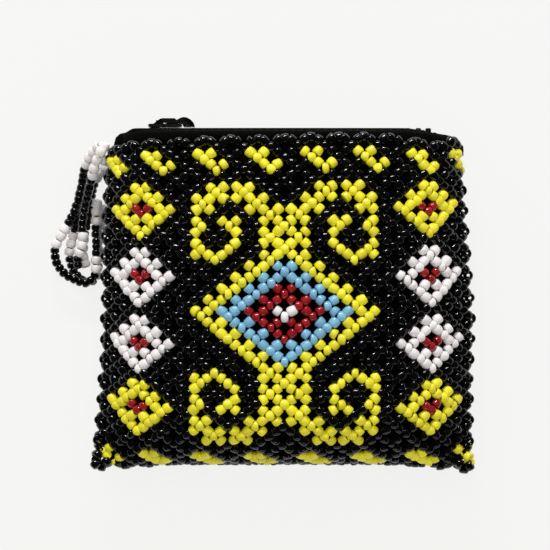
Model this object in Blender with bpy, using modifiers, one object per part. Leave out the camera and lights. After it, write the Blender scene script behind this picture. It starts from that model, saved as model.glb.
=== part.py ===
"""Small netted bead clutch with a zip mouth and a beaded wrist strap, lying on its back.

Metres, +Z up. The front face looks up, the zip is towards +Y and the strap lies on the -X side.
The origin is on the flat of the back, where the clutch rests.
"""

from math import cos, floor, hypot, pi, radians, sin

import bmesh
import bpy
from mathutils import Vector

MM = 0.001
SHARP_ANGLE = radians(40)

# Net lattice: columns run round the pouch and rows from the rim to the bottom seam.
# A shared bead sits at each lattice point with an even sum, and a mesh hole at each odd one.
SIDE_COLUMNS = 15
HALF_ROWS = 16
ROUND_COLUMNS = 4 * SIDE_COLUMNS
COLUMN_PITCH = 3.78 * MM
ROW_PITCH = 3.09 * MM
LATTICE_Y = -5.0 * MM

# Outer form of the stuffed pouch
MOUTH_HALF = 50.4 * MM
BELLY_HALF = 53.0 * MM
BOTTOM_HALF = 53.6 * MM
FOLD_Z = 12.6 * MM
BELLY_RISE = 15.2 * MM
MOUTH_RISE = 10.3 * MM
BELLY_DROP = 13.6 * MM
MOUTH_DROP = 10.0 * MM
SIDE_TOP = 46.9 * MM
SIDE_BOTTOM = 43.0 * MM
ROLL_START = 8
ROLL_REACH = 16.5 * MM
MOUTH_LIFT = 1.4 * MM
RIGHT_LIFT = 1.5 * MM
LEFT_LIFT = 0.8 * MM
CORNER_LIFT = 2.2 * MM
WIDEST_SHARE = 0.62
FRONT_POWER = 2.4
BACK_POWER = 4.0
FRONT_BELLY_BLUNT = 0.77
BACK_BELLY_BLUNT = 0.7
MOUTH_BLUNT = 0.42
REST_PATCH = 3
REST_ROW = -1.6

# Layers of the wall, measured inwards at the belly
BEAD_RISE = 0.8 * MM
RISE_END_SHARE = 0.72
MESH_DEPTH = 1.6 * MM
NET_WALL = 3.2 * MM
LAYER_GAP = 0.7 * MM
LINING_WALL = 0.9 * MM
SIDE_LAYER_SHARE = 1.2
BOTTOM_LAYER_SHARE = 1.5
LINING_TOP_ROW = -15.3
HEM_ROW = -15.5
LINING_END_ROW = 15.3
LAYER_SPANS = 14
LAYER_ROWS = (-11, -5, 1, 7, 10, 12, 14)
CUTTER_REACH = 12.0 * MM

# Coloured fields woven into the net
FIELD_GAP = 0.3 * MM
FIELD_THICKNESS = 0.45 * MM
FIELD_BUMP = 0.35 * MM
FIELD_MARGIN = 0.2 * MM

# Zip
TAPE_RISE = 2.26 * MM
ZIP_Y = LATTICE_Y + HALF_ROWS * ROW_PITCH + TAPE_RISE
TAPE_THICKNESS = 0.7 * MM
TAPE_SHOULDER = 0.8 * MM
TAPE_PILLOW = 0.8 * MM
END_SWELL = 0.3
LEFT_END_DROP = 2.6 * MM
RIGHT_END_DROP = 1.0 * MM
TAPE_END_SPANS = 1
SEAM_GAP = 0.3 * MM
TOOTH_PITCH = 3.0 * MM
TOOTH_LENGTH = 1.5 * MM
TOOTH_HALF_HEIGHT = 0.9 * MM
TOOTH_TIP = 1.0 * MM
TOOTH_ROOT = 2.0 * MM
RAIL_EDGE = 2.7 * MM
STOP_LENGTH = 1.6 * MM
STOP_HALF_WIDTH = 2.3 * MM
STOP_GAP = 0.3 * MM
STOP_MARGIN = 1.14 * MM
STOP_EDGE = 0.2 * MM

# Slider and pull
SLIDER_START = 5.7 * MM
SLIDER_LENGTH = 9.5 * MM
PLATE_CORNER = 1.2 * MM
FLANGE_INDENT = 1.5 * MM
FLANGE_TAIL = 0.9 * MM
FLANGE_STEP = 0.1 * MM
RUN_CLEARANCE = 0.3 * MM
PLATE_THICKNESS = 0.85 * MM
FLANGE_THICKNESS = 0.8 * MM
TAIL_TAPER = 0.7 * MM
POST_LENGTH = 2.4 * MM
POST_TIP = 0.6 * MM
POST_INDENT = 0.3 * MM
CROWN_HALF_LENGTH = 3.3 * MM
CROWN_LEG = 0.9 * MM
CROWN_HALF_WIDTH = 0.85 * MM
CROWN_WINDOW = 1.2 * MM
CROWN_BAR = 0.55 * MM
CROWN_SLOPE = 0.6 * MM
CROWN_BROW = 0.3 * MM
PULL_THICKNESS = 0.6 * MM
PULL_HALF_WIDTH = 2.3 * MM
PULL_ARM = 1.0 * MM
PULL_EYE = 4.5 * MM
PULL_EYE_MARGIN = 1.0 * MM
# Side outline of the pull past its eye, from the pivot: it arches up and its tip curls down to the tape
PULL_OVER = (
    (2.4, 0.3), (3.4, 0.66), (4.4, 1.16), (5.3, 1.36), (6.3, 1.16), (7.3, 0.56), (8.1, -0.36), (8.4, -1.4),
)
PULL_UNDER = ((7.3, -1.4), (7.0, -0.7), (6.3, -0.1), (5.3, 0.16), (4.4, 0.1), (3.5, -0.16), (2.6, -0.3))

# Wrist strap: four bead strands in two layers
STRAND_DIAMETER = 2.8 * MM
STRAND_STEP = 5.6 * MM
STRAND_ROUTES = (
    ((-51.9, 43.1, 12.8), (-54.2, 41.0, 10.4), (-56.4, 37.6, 7.6), (-57.6, 33.0, 5.4),
     (-58.6, 28.2, 4.8), (-60.4, 23.4, 4.8), (-62.8, 19.2, 4.8), (-65.0, 15.2, 4.8),
     (-65.4, 11.2, 4.8), (-63.6, 7.6, 4.8), (-60.2, 5.4, 4.8), (-56.6, 4.0, 4.8),
     (-54.0, 6.2, 4.8), (-53.6, 10.4, 4.8), (-53.6, 14.6, 4.8), (-53.7, 19.2, 4.8),
     (-53.6, 23.8, 5.0), (-53.2, 28.6, 5.8)),
    ((-52.1, 39.7, 13.6), (-53.4, 36.8, 12.8), (-54.4, 33.4, 10.6), (-55.6, 29.4, 9.0),
     (-56.7, 25.2, 8.0), (-57.4, 21.0, 7.6), (-57.1, 17.0, 7.6), (-57.8, 13.4, 7.2),
     (-58.9, 10.8, 6.2), (-58.8, 9.0, 5.6), (-57.8, 8.0, 5.2)),
    ((-50.7, 41.2, 7.0), (-53.9, 39.8, 4.4), (-56.9, 36.6, 2.2), (-58.0, 32.4, 1.6),
     (-58.6, 27.8, 1.6), (-59.4, 23.2, 1.6), (-60.2, 18.6, 1.6), (-61.3, 14.6, 1.6),
     (-61.5, 10.6, 1.6), (-59.8, 6.8, 1.6), (-56.8, 4.3, 1.6), (-54.2, 5.4, 1.6),
     (-53.3, 9.0, 1.6), (-53.4, 13.0, 1.6), (-53.4, 17.2, 1.6), (-52.6, 21.6, 1.6),
     (-51.0, 26.2, 1.6)),
    ((-50.2, 37.4, 6.2), (-52.4, 35.6, 3.6), (-54.6, 32.6, 1.9), (-55.4, 28.2, 1.6),
     (-56.2, 23.8, 1.6), (-57.0, 19.4, 1.6), (-57.7, 15.2, 1.6), (-57.6, 11.6, 1.6),
     (-57.0, 9.2, 1.6)),
)
ROUTE_SPANS = 20


def clear_scene():
    for item in list(bpy.data.objects):
        bpy.data.objects.remove(item, do_unlink=True)


def new_collection(name):
    group = bpy.data.collections.new(name)
    bpy.context.scene.collection.children.link(group)
    return group


def new_material(name, colour, roughness, metallic=0.0):
    material = bpy.data.materials.new(name)
    material.use_nodes = True
    shader = material.node_tree.nodes["Principled BSDF"]
    shader.inputs["Base Color"].default_value = (*colour, 1.0)
    shader.inputs["Roughness"].default_value = roughness
    shader.inputs["Metallic"].default_value = metallic
    material.diffuse_color = (*colour, 1.0)
    return material


def mesh_object(name, bm, group, material=None):
    bmesh.ops.recalc_face_normals(bm, faces=bm.faces)
    mesh = bpy.data.meshes.new(name)
    bm.to_mesh(mesh)
    bm.free()
    mesh.shade_smooth()
    mesh.set_sharp_from_angle(angle=SHARP_ANGLE)
    item = bpy.data.objects.new(name, mesh)
    group.objects.link(item)
    if material:
        mesh.materials.append(material)
    return item


def set_origin(item, origin):
    """Moves an object's origin to a point and leaves its mesh where it is."""
    for vertex in item.data.vertices:
        vertex.co -= origin
    item.location = origin
    bpy.context.view_layer.update()


def cut_or_join(item, tool, operation):
    modifier = item.modifiers.new(operation.title(), "BOOLEAN")
    modifier.operation = operation
    modifier.object = tool
    tool.hide_render = True
    tool.display_type = "WIRE"


def smooth_step(t):
    t = min(1.0, max(0.0, t))
    return t * t * (3 - 2 * t)


def half_width(row):
    share = (row + HALF_ROWS) / (2 * HALF_ROWS)
    grown = sin(min(share / WIDEST_SHARE, 1.0) * pi / 2)
    flared = smooth_step((share - WIDEST_SHARE) / (1 - WIDEST_SHARE))
    return MOUTH_HALF + (BELLY_HALF - MOUTH_HALF) * grown + (BOTTOM_HALF - BELLY_HALF) * flared


def half_thickness(row, mouth, belly):
    """Height of the front or the back over the fold plane, rolling to nothing at the bottom seam."""
    if row > ROLL_START:
        return belly * cos((row - ROLL_START) / (HALF_ROWS - ROLL_START) * pi / 2)
    return mouth + (belly - mouth) * sin(min((row + HALF_ROWS) / HALF_ROWS, 1.0) * pi / 2)


def row_height(row, side):
    """Y of a row: full pitch down the middle, a roll at the bottom, even steps at the side folds."""
    middle = -ROW_PITCH * min(row, ROLL_START)
    if row > ROLL_START:
        middle -= ROLL_REACH * sin((row - ROLL_START) / (HALF_ROWS - ROLL_START) * pi / 2)
    share = (row + HALF_ROWS) / (2 * HALF_ROWS)
    edge = SIDE_TOP - (SIDE_TOP + SIDE_BOTTOM) * share
    return LATTICE_Y + middle + (edge - middle) * side**4


def rim_lift(row, side):
    """The front rim stands a little higher right of the middle."""
    hump = smooth_step((side + 0.75) / 1.2) * (1 - smooth_step((side - 0.5) / 0.25))
    return MOUTH_LIFT * hump * max(0.0, -row / HALF_ROWS) ** 2


def side_lift(row, side):
    """The netting is pushed up beside the belly, and most at the right corner of the mouth."""
    share = max(0.0, -row / HALF_ROWS)
    beside = RIGHT_LIFT * smooth_step((side - 0.4) / 0.3) + LEFT_LIFT * smooth_step((-side - 0.4) / 0.3)
    return beside * sin(pi * share) + CORNER_LIFT * smooth_step((side - 0.78) / 0.15) * share**1.5


def pouch_point(column, row, inset=0.0):
    """A point of the pouch's wall. An inset draws it in towards the middle of the mouth."""
    column = (column + SIDE_COLUMNS) % ROUND_COLUMNS - SIDE_COLUMNS
    on_front = column <= SIDE_COLUMNS
    side = (column if on_front else 2 * SIDE_COLUMNS - column) / SIDE_COLUMNS
    across = sin(side * pi / 4) / sin(pi / 4)
    near_mouth = 1 - smooth_step((row + HALF_ROWS) / (0.75 * HALF_ROWS))
    if on_front:
        blunt = FRONT_BELLY_BLUNT + (MOUTH_BLUNT - FRONT_BELLY_BLUNT) * near_mouth
        crown = max(0.0, 1 - abs(across) ** FRONT_POWER) ** blunt
        z = half_thickness(row, MOUTH_RISE, BELLY_RISE) * crown
        y = row_height(row, abs(side)) + rim_lift(row, side) + side_lift(row, side)
    else:
        blunt = BACK_BELLY_BLUNT + (MOUTH_BLUNT - BACK_BELLY_BLUNT) * near_mouth
        crown = max(0.0, 1 - abs(across) ** BACK_POWER) ** blunt
        z = max(-FOLD_Z, -half_thickness(row, MOUTH_DROP, BELLY_DROP) * crown)
        y = row_height(row, abs(side)) + side_lift(row, side)
    mouth_y = row_height(-HALF_ROWS, 0.0)
    depth = mouth_y - row_height(HALF_ROWS, 0.0)
    return Vector((
        half_width(row) * across * (1 - SIDE_LAYER_SHARE * inset / BELLY_HALF),
        mouth_y + (y - mouth_y) * (1 - BOTTOM_LAYER_SHARE * inset / depth),
        FOLD_Z + z * (1 - inset / BELLY_RISE),
    ))


def wall_normal(column, row):
    step = 0.25
    low = max(-HALF_ROWS, row - step)
    high = min(HALF_ROWS, row + step)
    along = pouch_point(column, high) - pouch_point(column, low)
    round_it = pouch_point(column + step, row) - pouch_point(column - step, row)
    normal = along.cross(round_it)
    if normal.length < 1e-9:
        return Vector((1.0 if pouch_point(column, row).x > 0 else -1.0, -1.0, 0.0)).normalized()
    return normal.normalized()


def net_point(column, row, proud=0.0):
    return pouch_point(column, row) + wall_normal(column, row) * proud


def mesh_hole_depth(column, row):
    """Mesh holes are sunk, less where the wall is thin, and not in the flat that the back rests on."""
    column = column % ROUND_COLUMNS
    beside = abs(column - 2 * SIDE_COLUMNS)
    if beside <= REST_PATCH and abs(row - REST_ROW) <= REST_PATCH:
        return 0.0
    return MESH_DEPTH * (1 + abs(pouch_point(column, row).z - FOLD_Z) / BELLY_RISE) / 2


def bead_rise(column, row, covered):
    """Shared beads stand out of the front, apart from those in and beside a field of colour."""
    side = abs(column) / SIDE_COLUMNS
    p, q = bead_cell(column, row)
    near = {(p + dp, q + dq) for dp, dq in BESIDE}
    near |= {(p + 2 * dp, q + 2 * dq) for dp, dq in BESIDE}
    if side > 1 or (p, q) in covered or near & covered:
        return 0.0
    return BEAD_RISE * (1 - smooth_step((side - RISE_END_SHARE) / (1 - RISE_END_SHARE)))


def make_net(group, cutters, material, covered):
    """The netted bag: ridges join the shared beads, and the mesh holes lie between them."""
    bm = bmesh.new()
    points = {}
    for row in range(-HALF_ROWS, HALF_ROWS + 1):
        for column in range(-SIDE_COLUMNS, ROUND_COLUMNS - SIDE_COLUMNS):
            if row == HALF_ROWS and column > SIDE_COLUMNS:
                points[column, row] = points[2 * SIDE_COLUMNS - column, row]
                continue
            hole = (column + row) % 2
            proud = -mesh_hole_depth(column, row) if hole else bead_rise(column, row, covered)
            points[column, row] = bm.verts.new(net_point(column, row, proud))
    seam_ends = {points[-SIDE_COLUMNS, HALF_ROWS], points[SIDE_COLUMNS, HALF_ROWS]}
    for row in range(-HALF_ROWS, HALF_ROWS):
        for column in range(-SIDE_COLUMNS, ROUND_COLUMNS - SIDE_COLUMNS):
            after = (column + 1 + SIDE_COLUMNS) % ROUND_COLUMNS - SIDE_COLUMNS
            near, far = points[column, row], points[after, row]
            below, across = points[column, row + 1], points[after, row + 1]
            if (column + row) % 2 == 0:
                triangles = (near, across, far), (near, below, across)
            else:
                triangles = (near, below, far), (far, below, across)
            for corners in triangles:
                if len(set(corners)) == 3 and not seam_ends & set(corners):
                    bm.faces.new(corners)
    for corner in seam_ends:
        bm.verts.remove(corner)
    rim = [points[column, -HALF_ROWS] for column in range(-SIDE_COLUMNS, ROUND_COLUMNS - SIDE_COLUMNS)]
    middle = bm.verts.new((pouch_point(0, -HALF_ROWS) + pouch_point(2 * SIDE_COLUMNS, -HALF_ROWS)) / 2)
    for near, far in zip(rim, rim[1:] + rim[:1]):
        bm.faces.new((near, far, middle))
    net = mesh_object("bead_net", bm, group, material)
    net.data.shade_flat()
    hollow = pouch_solid("net_hollow", NET_WALL, -HALF_ROWS, CUTTER_REACH, cutters)
    cut_or_join(net, hollow, "DIFFERENCE")
    return net


def layer_columns():
    """Columns that the smooth layers pass through, from fold to fold and closer towards the folds."""
    return [SIDE_COLUMNS * sin((2 * k / LAYER_SPANS - 1) * pi / 2) for k in range(LAYER_SPANS + 1)]


def pouch_solid(name, inset, top_row, reach, group, material=None):
    """A closed solid of the pouch's form drawn in by an inset, lengthened out of the mouth by a reach."""
    bm = bmesh.new()
    front = layer_columns()
    columns = front + [2 * SIDE_COLUMNS - column for column in reversed(front[1:-1])]
    count = len(columns)
    rings = []
    for row in [top_row, *LAYER_ROWS, LINING_END_ROW]:
        rings.append([bm.verts.new(pouch_point(column, row, inset)) for column in columns])
    if reach:
        rings.insert(0, [bm.verts.new(vertex.co + Vector((0, reach, 0))) for vertex in rings[0]])
    for upper, lower in zip(rings, rings[1:]):
        for k in range(count):
            after = (k + 1) % count
            bm.faces.new((upper[k], lower[k], lower[after], upper[after]))
    for ring in (rings[0], rings[-1]):
        for k in range(count // 2):
            corners = [ring[k], ring[k + 1], ring[count - k - 1], ring[-k]]
            distinct = [corner for n, corner in enumerate(corners) if corner not in corners[:n]]
            bm.faces.new(distinct)
    return mesh_object(name, bm, group, material)


def make_lining(group, cutters, material):
    inset = NET_WALL + LAYER_GAP
    lining = pouch_solid("lining", inset, LINING_TOP_ROW, 0.0, group, material)
    hollow = pouch_solid("lining_hollow", inset + LINING_WALL, LINING_TOP_ROW, CUTTER_REACH, cutters)
    cut_or_join(lining, hollow, "DIFFERENCE")
    return lining


def stitch(column, row):
    """A shared bead with the two bridging beads above it."""
    return {(column, row), (column - 0.5, row - 0.5), (column + 0.5, row - 0.5)}


def diamond_ring(column, row, size):
    """The beads of all stitches at one step count from a middle stitch."""
    beads = set()
    for along in range(-size, size + 1):
        for up in {size - abs(along), abs(along) - size}:
            beads |= stitch(column + along, row + up)
    return beads


def distance_to_path(point, path):
    shortest = float("inf")
    for (ax, ay), (bx, by) in zip(path, path[1:]):
        dx, dy = bx - ax, by - ay
        share = ((point[0] - ax) * dx + (point[1] - ay) * dy) / (dx * dx + dy * dy)
        share = min(1.0, max(0.0, share))
        shortest = min(shortest, hypot(point[0] - ax - share * dx, point[1] - ay - share * dy))
    return shortest


SCROLL_ARM = ((1, 9), (2, 10), (3, 11), (5, 11), (6, 10))
SCROLL_CURL = ((6.25, 10), (6.25, 6), (5, 5), (4, 6), (3.65, 7), (4, 8))
SCROLL_BARB = ((3.5, 8.5), (4.5, 8.5))
SCROLL_ARM_REACH = 0.75
SCROLL_CURL_REACH = 0.6


def scroll_bead(column, row):
    """True for a bead of the stem or of a scroll, which mirror left to right and top to bottom."""
    place = (abs(column), abs(row))
    if place[0] <= 1.5 and 5 <= place[1] <= 9.5:
        return True
    return (
        distance_to_path(place, SCROLL_ARM) <= SCROLL_ARM_REACH
        or distance_to_path(place, SCROLL_CURL) <= SCROLL_CURL_REACH
        or place in SCROLL_BARB
    )


def net_beads(columns, rows):
    """All bead places of a stretch of net: shared beads, and bridging beads at the half steps."""
    places = []
    for twice_row in range(2 * rows[0], 2 * rows[1] + 1):
        for twice_column in range(2 * columns[0], 2 * columns[1] + 1):
            bridging = twice_row % 2 and twice_column % 2
            shared = not twice_row % 2 and not twice_column % 2 and (twice_row + twice_column) % 4 == 0
            if bridging or shared:
                places.append((twice_column / 2, twice_row / 2))
    return places


def bead_cell(column, row):
    """Place of a bead on the slanting grid, whose axes run down to the right and up to the right."""
    return round(column + row), round(column - row)


BESIDE = ((1, 0), (-1, 0), (0, 1), (0, -1))


def field_cells(beads, taken):
    """Cells of the slanting grid that a field covers, with the mesh holes between its beads closed."""
    bead_cells = {bead_cell(*bead) for bead in beads}
    cells = set(bead_cells)
    holes = {(p + dp, q + dq) for p, q in cells for dp, dq in BESIDE if (p + dp) % 2 and (q + dq) % 2}
    for p, q in holes - taken:
        if sum((p + dp, q + dq) in bead_cells for dp, dq in BESIDE) >= 2:
            cells.add((p, q))
    for p, q in sorted(cells):
        for dq in (1, -1):
            links = [(p + 1, q), (p, q + dq)]
            if (p + 1, q + dq) in cells and not cells & set(links):
                cells.add(next(link for link in links if link not in taken))
    return cells


def make_field(name, cells, group, material):
    """A field of colour: one thin plate on the net's ridges, with a bump for each bead."""
    margin = FIELD_MARGIN / (hypot(COLUMN_PITCH, ROW_PITCH) / 2)
    bm = bmesh.new()
    corners = {}
    lifts = {}

    def corner(twice_p, twice_q):
        if (twice_p, twice_q) not in corners:
            pull_p = pull_q = 0
            for dp in (-1, 1):
                for dq in (-1, 1):
                    if ((twice_p + dp) // 2, (twice_q + dq) // 2) in cells:
                        pull_p += dp
                        pull_q += dq
            p = twice_p / 2 + margin * ((pull_p > 0) - (pull_p < 0))
            q = twice_q / 2 + margin * ((pull_q > 0) - (pull_q < 0))
            column, row = (p + q) / 2, (p - q) / 2
            vertex = bm.verts.new(net_point(column, row, FIELD_GAP))
            lifts[vertex.co.copy().freeze()] = wall_normal(column, row) * FIELD_THICKNESS
            corners[twice_p, twice_q] = vertex
        return corners[twice_p, twice_q]

    for p, q in sorted(cells):
        face = bm.faces.new((
            corner(2 * p - 1, 2 * q - 1), corner(2 * p + 1, 2 * q - 1),
            corner(2 * p + 1, 2 * q + 1), corner(2 * p - 1, 2 * q + 1),
        ))
        face.material_index = 0 if p % 2 and q % 2 else 1
    raised = bmesh.ops.extrude_face_region(bm, geom=bm.faces[:], use_keep_orig=True)["geom"]
    for vertex in (item for item in raised if isinstance(item, bmesh.types.BMVert)):
        vertex.co += lifts[vertex.co.copy().freeze()]
    tops = [item for item in raised if isinstance(item, bmesh.types.BMFace)]
    bmesh.ops.recalc_face_normals(bm, faces=bm.faces)
    bmesh.ops.poke(bm, faces=[face for face in tops if face.material_index], offset=FIELD_BUMP)
    for face in bm.faces:
        face.material_index = 0
    return mesh_object(name, bm, group, material)


def list_fields():
    """Name, beads and colour of each field: the middle diamond, the scrolls, small diamonds and hooks."""
    ring = diamond_ring(0, 0, 6)
    fields = [
        ("centre_white", diamond_ring(0, 0, 0), "white"),
        ("ring_red", diamond_ring(0, 0, 2), "red"),
        ("ring_blue", diamond_ring(0, 0, 4), "blue"),
        ("ring_yellow", ring, "yellow"),
    ]
    for name, rows in (("scrolls_upper", (-12, 0)), ("scrolls_lower", (0, 12))):
        beads = {bead for bead in net_beads((-8, 8), rows) if scroll_bead(*bead)} - ring
        fields.append((name, beads, "yellow"))
    count = 0
    for column in (-11, 11):
        for row, frame in ((-9, "yellow"), (-3, "white"), (3, "white"), (9, "yellow")):
            count += 1
            fields.append((f"small_diamond_{count}", diamond_ring(column, row, 2), frame))
            fields.append((f"small_heart_{count}", stitch(column, row), "red"))
    for edge, row in (("top", -14), ("bottom", 14)):
        for number, column in enumerate(range(-14, 15, 4), start=1):
            beads = stitch(column, row) | stitch(column + 1, row + 1)
            fields.append((f"hook_{edge}_{number}", beads, "yellow"))
    return fields


def plan_fields():
    """Name, cells and colour of each field."""
    fields = list_fields()
    taken = {bead_cell(*bead) for _, beads, _ in fields for bead in beads}
    plans = []
    for name, beads, colour in fields:
        cells = field_cells(beads, taken)
        taken |= cells
        plans.append((name, cells, colour))
    return plans


def tape_end(spans):
    """Half length of the tape, a number of spans in from the fold."""
    return pouch_point(layer_columns()[-1 - spans], -HALF_ROWS, NET_WALL + LAYER_GAP).x


def chain_half():
    """Half length of the rows of teeth: they and the stops end on the flat of the tape."""
    return tape_end(TAPE_END_SPANS + 1) - STOP_MARGIN - STOP_LENGTH - STOP_GAP


def slider_x():
    return SLIDER_START - chain_half()


def zip_level(x):
    """The tape bends down towards the corners of the mouth."""
    flat = tape_end(TAPE_END_SPANS + 1)
    past = max(0.0, (abs(x) - flat) / (tape_end(TAPE_END_SPANS) - flat))
    return ZIP_Y - (RIGHT_END_DROP if x > 0 else LEFT_END_DROP) * min(1.0, past) ** 2


def make_tape(name, front, group, material):
    """One side of the zip tape: flat beside the teeth, then turned down inside the rim as a hem."""
    inset = NET_WALL + LAYER_GAP
    flat = tape_end(TAPE_END_SPANS + 1) + SEAM_GAP / 2
    bm = bmesh.new()
    sides = []
    for column in layer_columns()[TAPE_END_SPANS:-TAPE_END_SPANS]:
        if not front:
            column = 2 * SIDE_COLUMNS - column
        rim = pouch_point(column, -HALF_ROWS, inset)
        hem = pouch_point(column, HEM_ROW, inset)
        level = zip_level(rim.x)
        outward = 1 if front else -1
        reach = abs(rim.z - FOLD_Z)
        edge = RAIL_EDGE + SEAM_GAP
        pillow = TAPE_PILLOW
        if abs(rim.x) > flat:
            edge = SEAM_GAP / 2 + TAPE_THICKNESS
            pillow = TAPE_PILLOW * END_SWELL
        edge = min(edge, reach - TAPE_SHOULDER - SEAM_GAP)
        shoulder = level - TAPE_SHOULDER
        profile = (
            (level, edge),
            (level + pillow, (edge + reach) / 2),
            (level + pillow / 2, reach - TAPE_SHOULDER),
            (shoulder, reach),
            (min(hem.y, shoulder - SEAM_GAP), abs(hem.z - FOLD_Z)),
        )
        sides.append([
            bm.verts.new((rim.x, y, FOLD_Z + outward * z)) for y, z in profile
        ])
    for near, far in zip(sides, sides[1:]):
        for n in range(len(near) - 1):
            bm.faces.new((near[n], near[n + 1], far[n + 1], far[n]))
    tape = mesh_object(name, bm, group, material)
    upward = sum(face.normal.y for face in tape.data.polygons)
    wall = tape.modifiers.new("Cloth", "SOLIDIFY")
    wall.thickness = TAPE_THICKNESS
    wall.offset = -1.0 if upward > 0 else 1.0
    return tape


def flat_piece(name, outlines, low, high, across, group, material=None):
    """A mesh extruded from flat outlines. The outlines lie in the XZ plane, or the XY plane if across."""
    curve = bpy.data.curves.new(name, "CURVE")
    curve.dimensions = "2D"
    curve.fill_mode = "BOTH"
    curve.extrude = (high - low) / 2
    for outline in outlines:
        spline = curve.splines.new("POLY")
        spline.points.add(len(outline) - 1)
        for point, (u, v) in zip(spline.points, outline):
            point.co = (u, v, 0.0, 1.0)
        spline.use_cyclic_u = True
    item = bpy.data.objects.new(name + "_outline", curve)
    group.objects.link(item)
    bpy.context.view_layer.update()
    evaluated = item.evaluated_get(bpy.context.evaluated_depsgraph_get())
    mesh = bpy.data.meshes.new_from_object(evaluated)
    bpy.data.objects.remove(item, do_unlink=True)
    bm = bmesh.new()
    bm.from_mesh(mesh)
    bmesh.ops.remove_doubles(bm, verts=bm.verts, dist=1e-6)
    middle = (high + low) / 2
    for vertex in bm.verts:
        u, v, w = vertex.co
        vertex.co = (u, v, w + middle) if across else (u, middle - w, v)
    return mesh_object(name, bm, group, material)


def make_teeth(name, front, group, material):
    """A row of teeth on its rail. The rows stand apart by the width that the slider's post runs in."""
    outward = 1 if front else -1
    half = chain_half()
    count = floor(2 * half / TOOTH_PITCH)
    start = (TOOTH_PITCH - TOOTH_LENGTH - count * TOOTH_PITCH) / 2
    outline = [(-half, outward * RAIL_EDGE), (-half, outward * TOOTH_ROOT)]
    for number in range(count):
        left = start + number * TOOTH_PITCH
        right = left + TOOTH_LENGTH
        outline += [
            (left, outward * TOOTH_ROOT), (left, outward * TOOTH_TIP),
            (right, outward * TOOTH_TIP), (right, outward * TOOTH_ROOT),
        ]
    outline += [(half, outward * TOOTH_ROOT), (half, outward * RAIL_EDGE)]
    outline = [(x, FOLD_Z + z) for x, z in outline]
    low, high = ZIP_Y - TOOTH_HALF_HEIGHT, ZIP_Y + TOOTH_HALF_HEIGHT
    return flat_piece(name, [outline], low, high, False, group, material)


def make_box(name, low, high, group, material=None, bevel=0.0):
    bm = bmesh.new()
    bmesh.ops.create_cube(bm, size=1.0)
    size = Vector(high) - Vector(low)
    middle = (Vector(high) + Vector(low)) / 2
    for vertex in bm.verts:
        vertex.co = Vector(a * b for a, b in zip(vertex.co, size)) + middle
    item = mesh_object(name, bm, group, material)
    if bevel:
        edge = item.modifiers.new("Edges", "BEVEL")
        edge.width = bevel
        edge.segments = 1
    return item


def make_stops(group, material):
    """Two end stops beside the closed slider, and one across both rows at the far end."""
    height = TOOTH_HALF_HEIGHT
    right = chain_half() + STOP_GAP
    left = -right - STOP_LENGTH
    for name, outward in (("top_stop_front", 1), ("top_stop_back", -1)):
        inner, outer = sorted((outward * TOOTH_TIP, outward * STOP_HALF_WIDTH))
        low = (left, ZIP_Y - height, FOLD_Z + inner)
        high = (left + STOP_LENGTH, ZIP_Y + height, FOLD_Z + outer)
        make_box(name, low, high, group, material, bevel=STOP_EDGE)
    low = (right, ZIP_Y - height, FOLD_Z - STOP_HALF_WIDTH)
    high = (right + STOP_LENGTH, ZIP_Y + height, FOLD_Z + STOP_HALF_WIDTH)
    make_box("bottom_stop", low, high, group, material, bevel=STOP_EDGE)


def rounded(points, radius, steps=3):
    """A closed outline with each corner turned into a short arc."""
    outline = []
    for n, corner in enumerate(points):
        corner = Vector(corner)
        before = (Vector(points[n - 1]) - corner).normalized()
        after = (Vector(points[(n + 1) % len(points)]) - corner).normalized()
        for step in range(steps + 1):
            share = step / steps
            start, end = corner + before * radius, corner + after * radius
            bend = start.lerp(corner, share).lerp(corner.lerp(end, share), share)
            outline.append(tuple(bend))
    return outline


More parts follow.
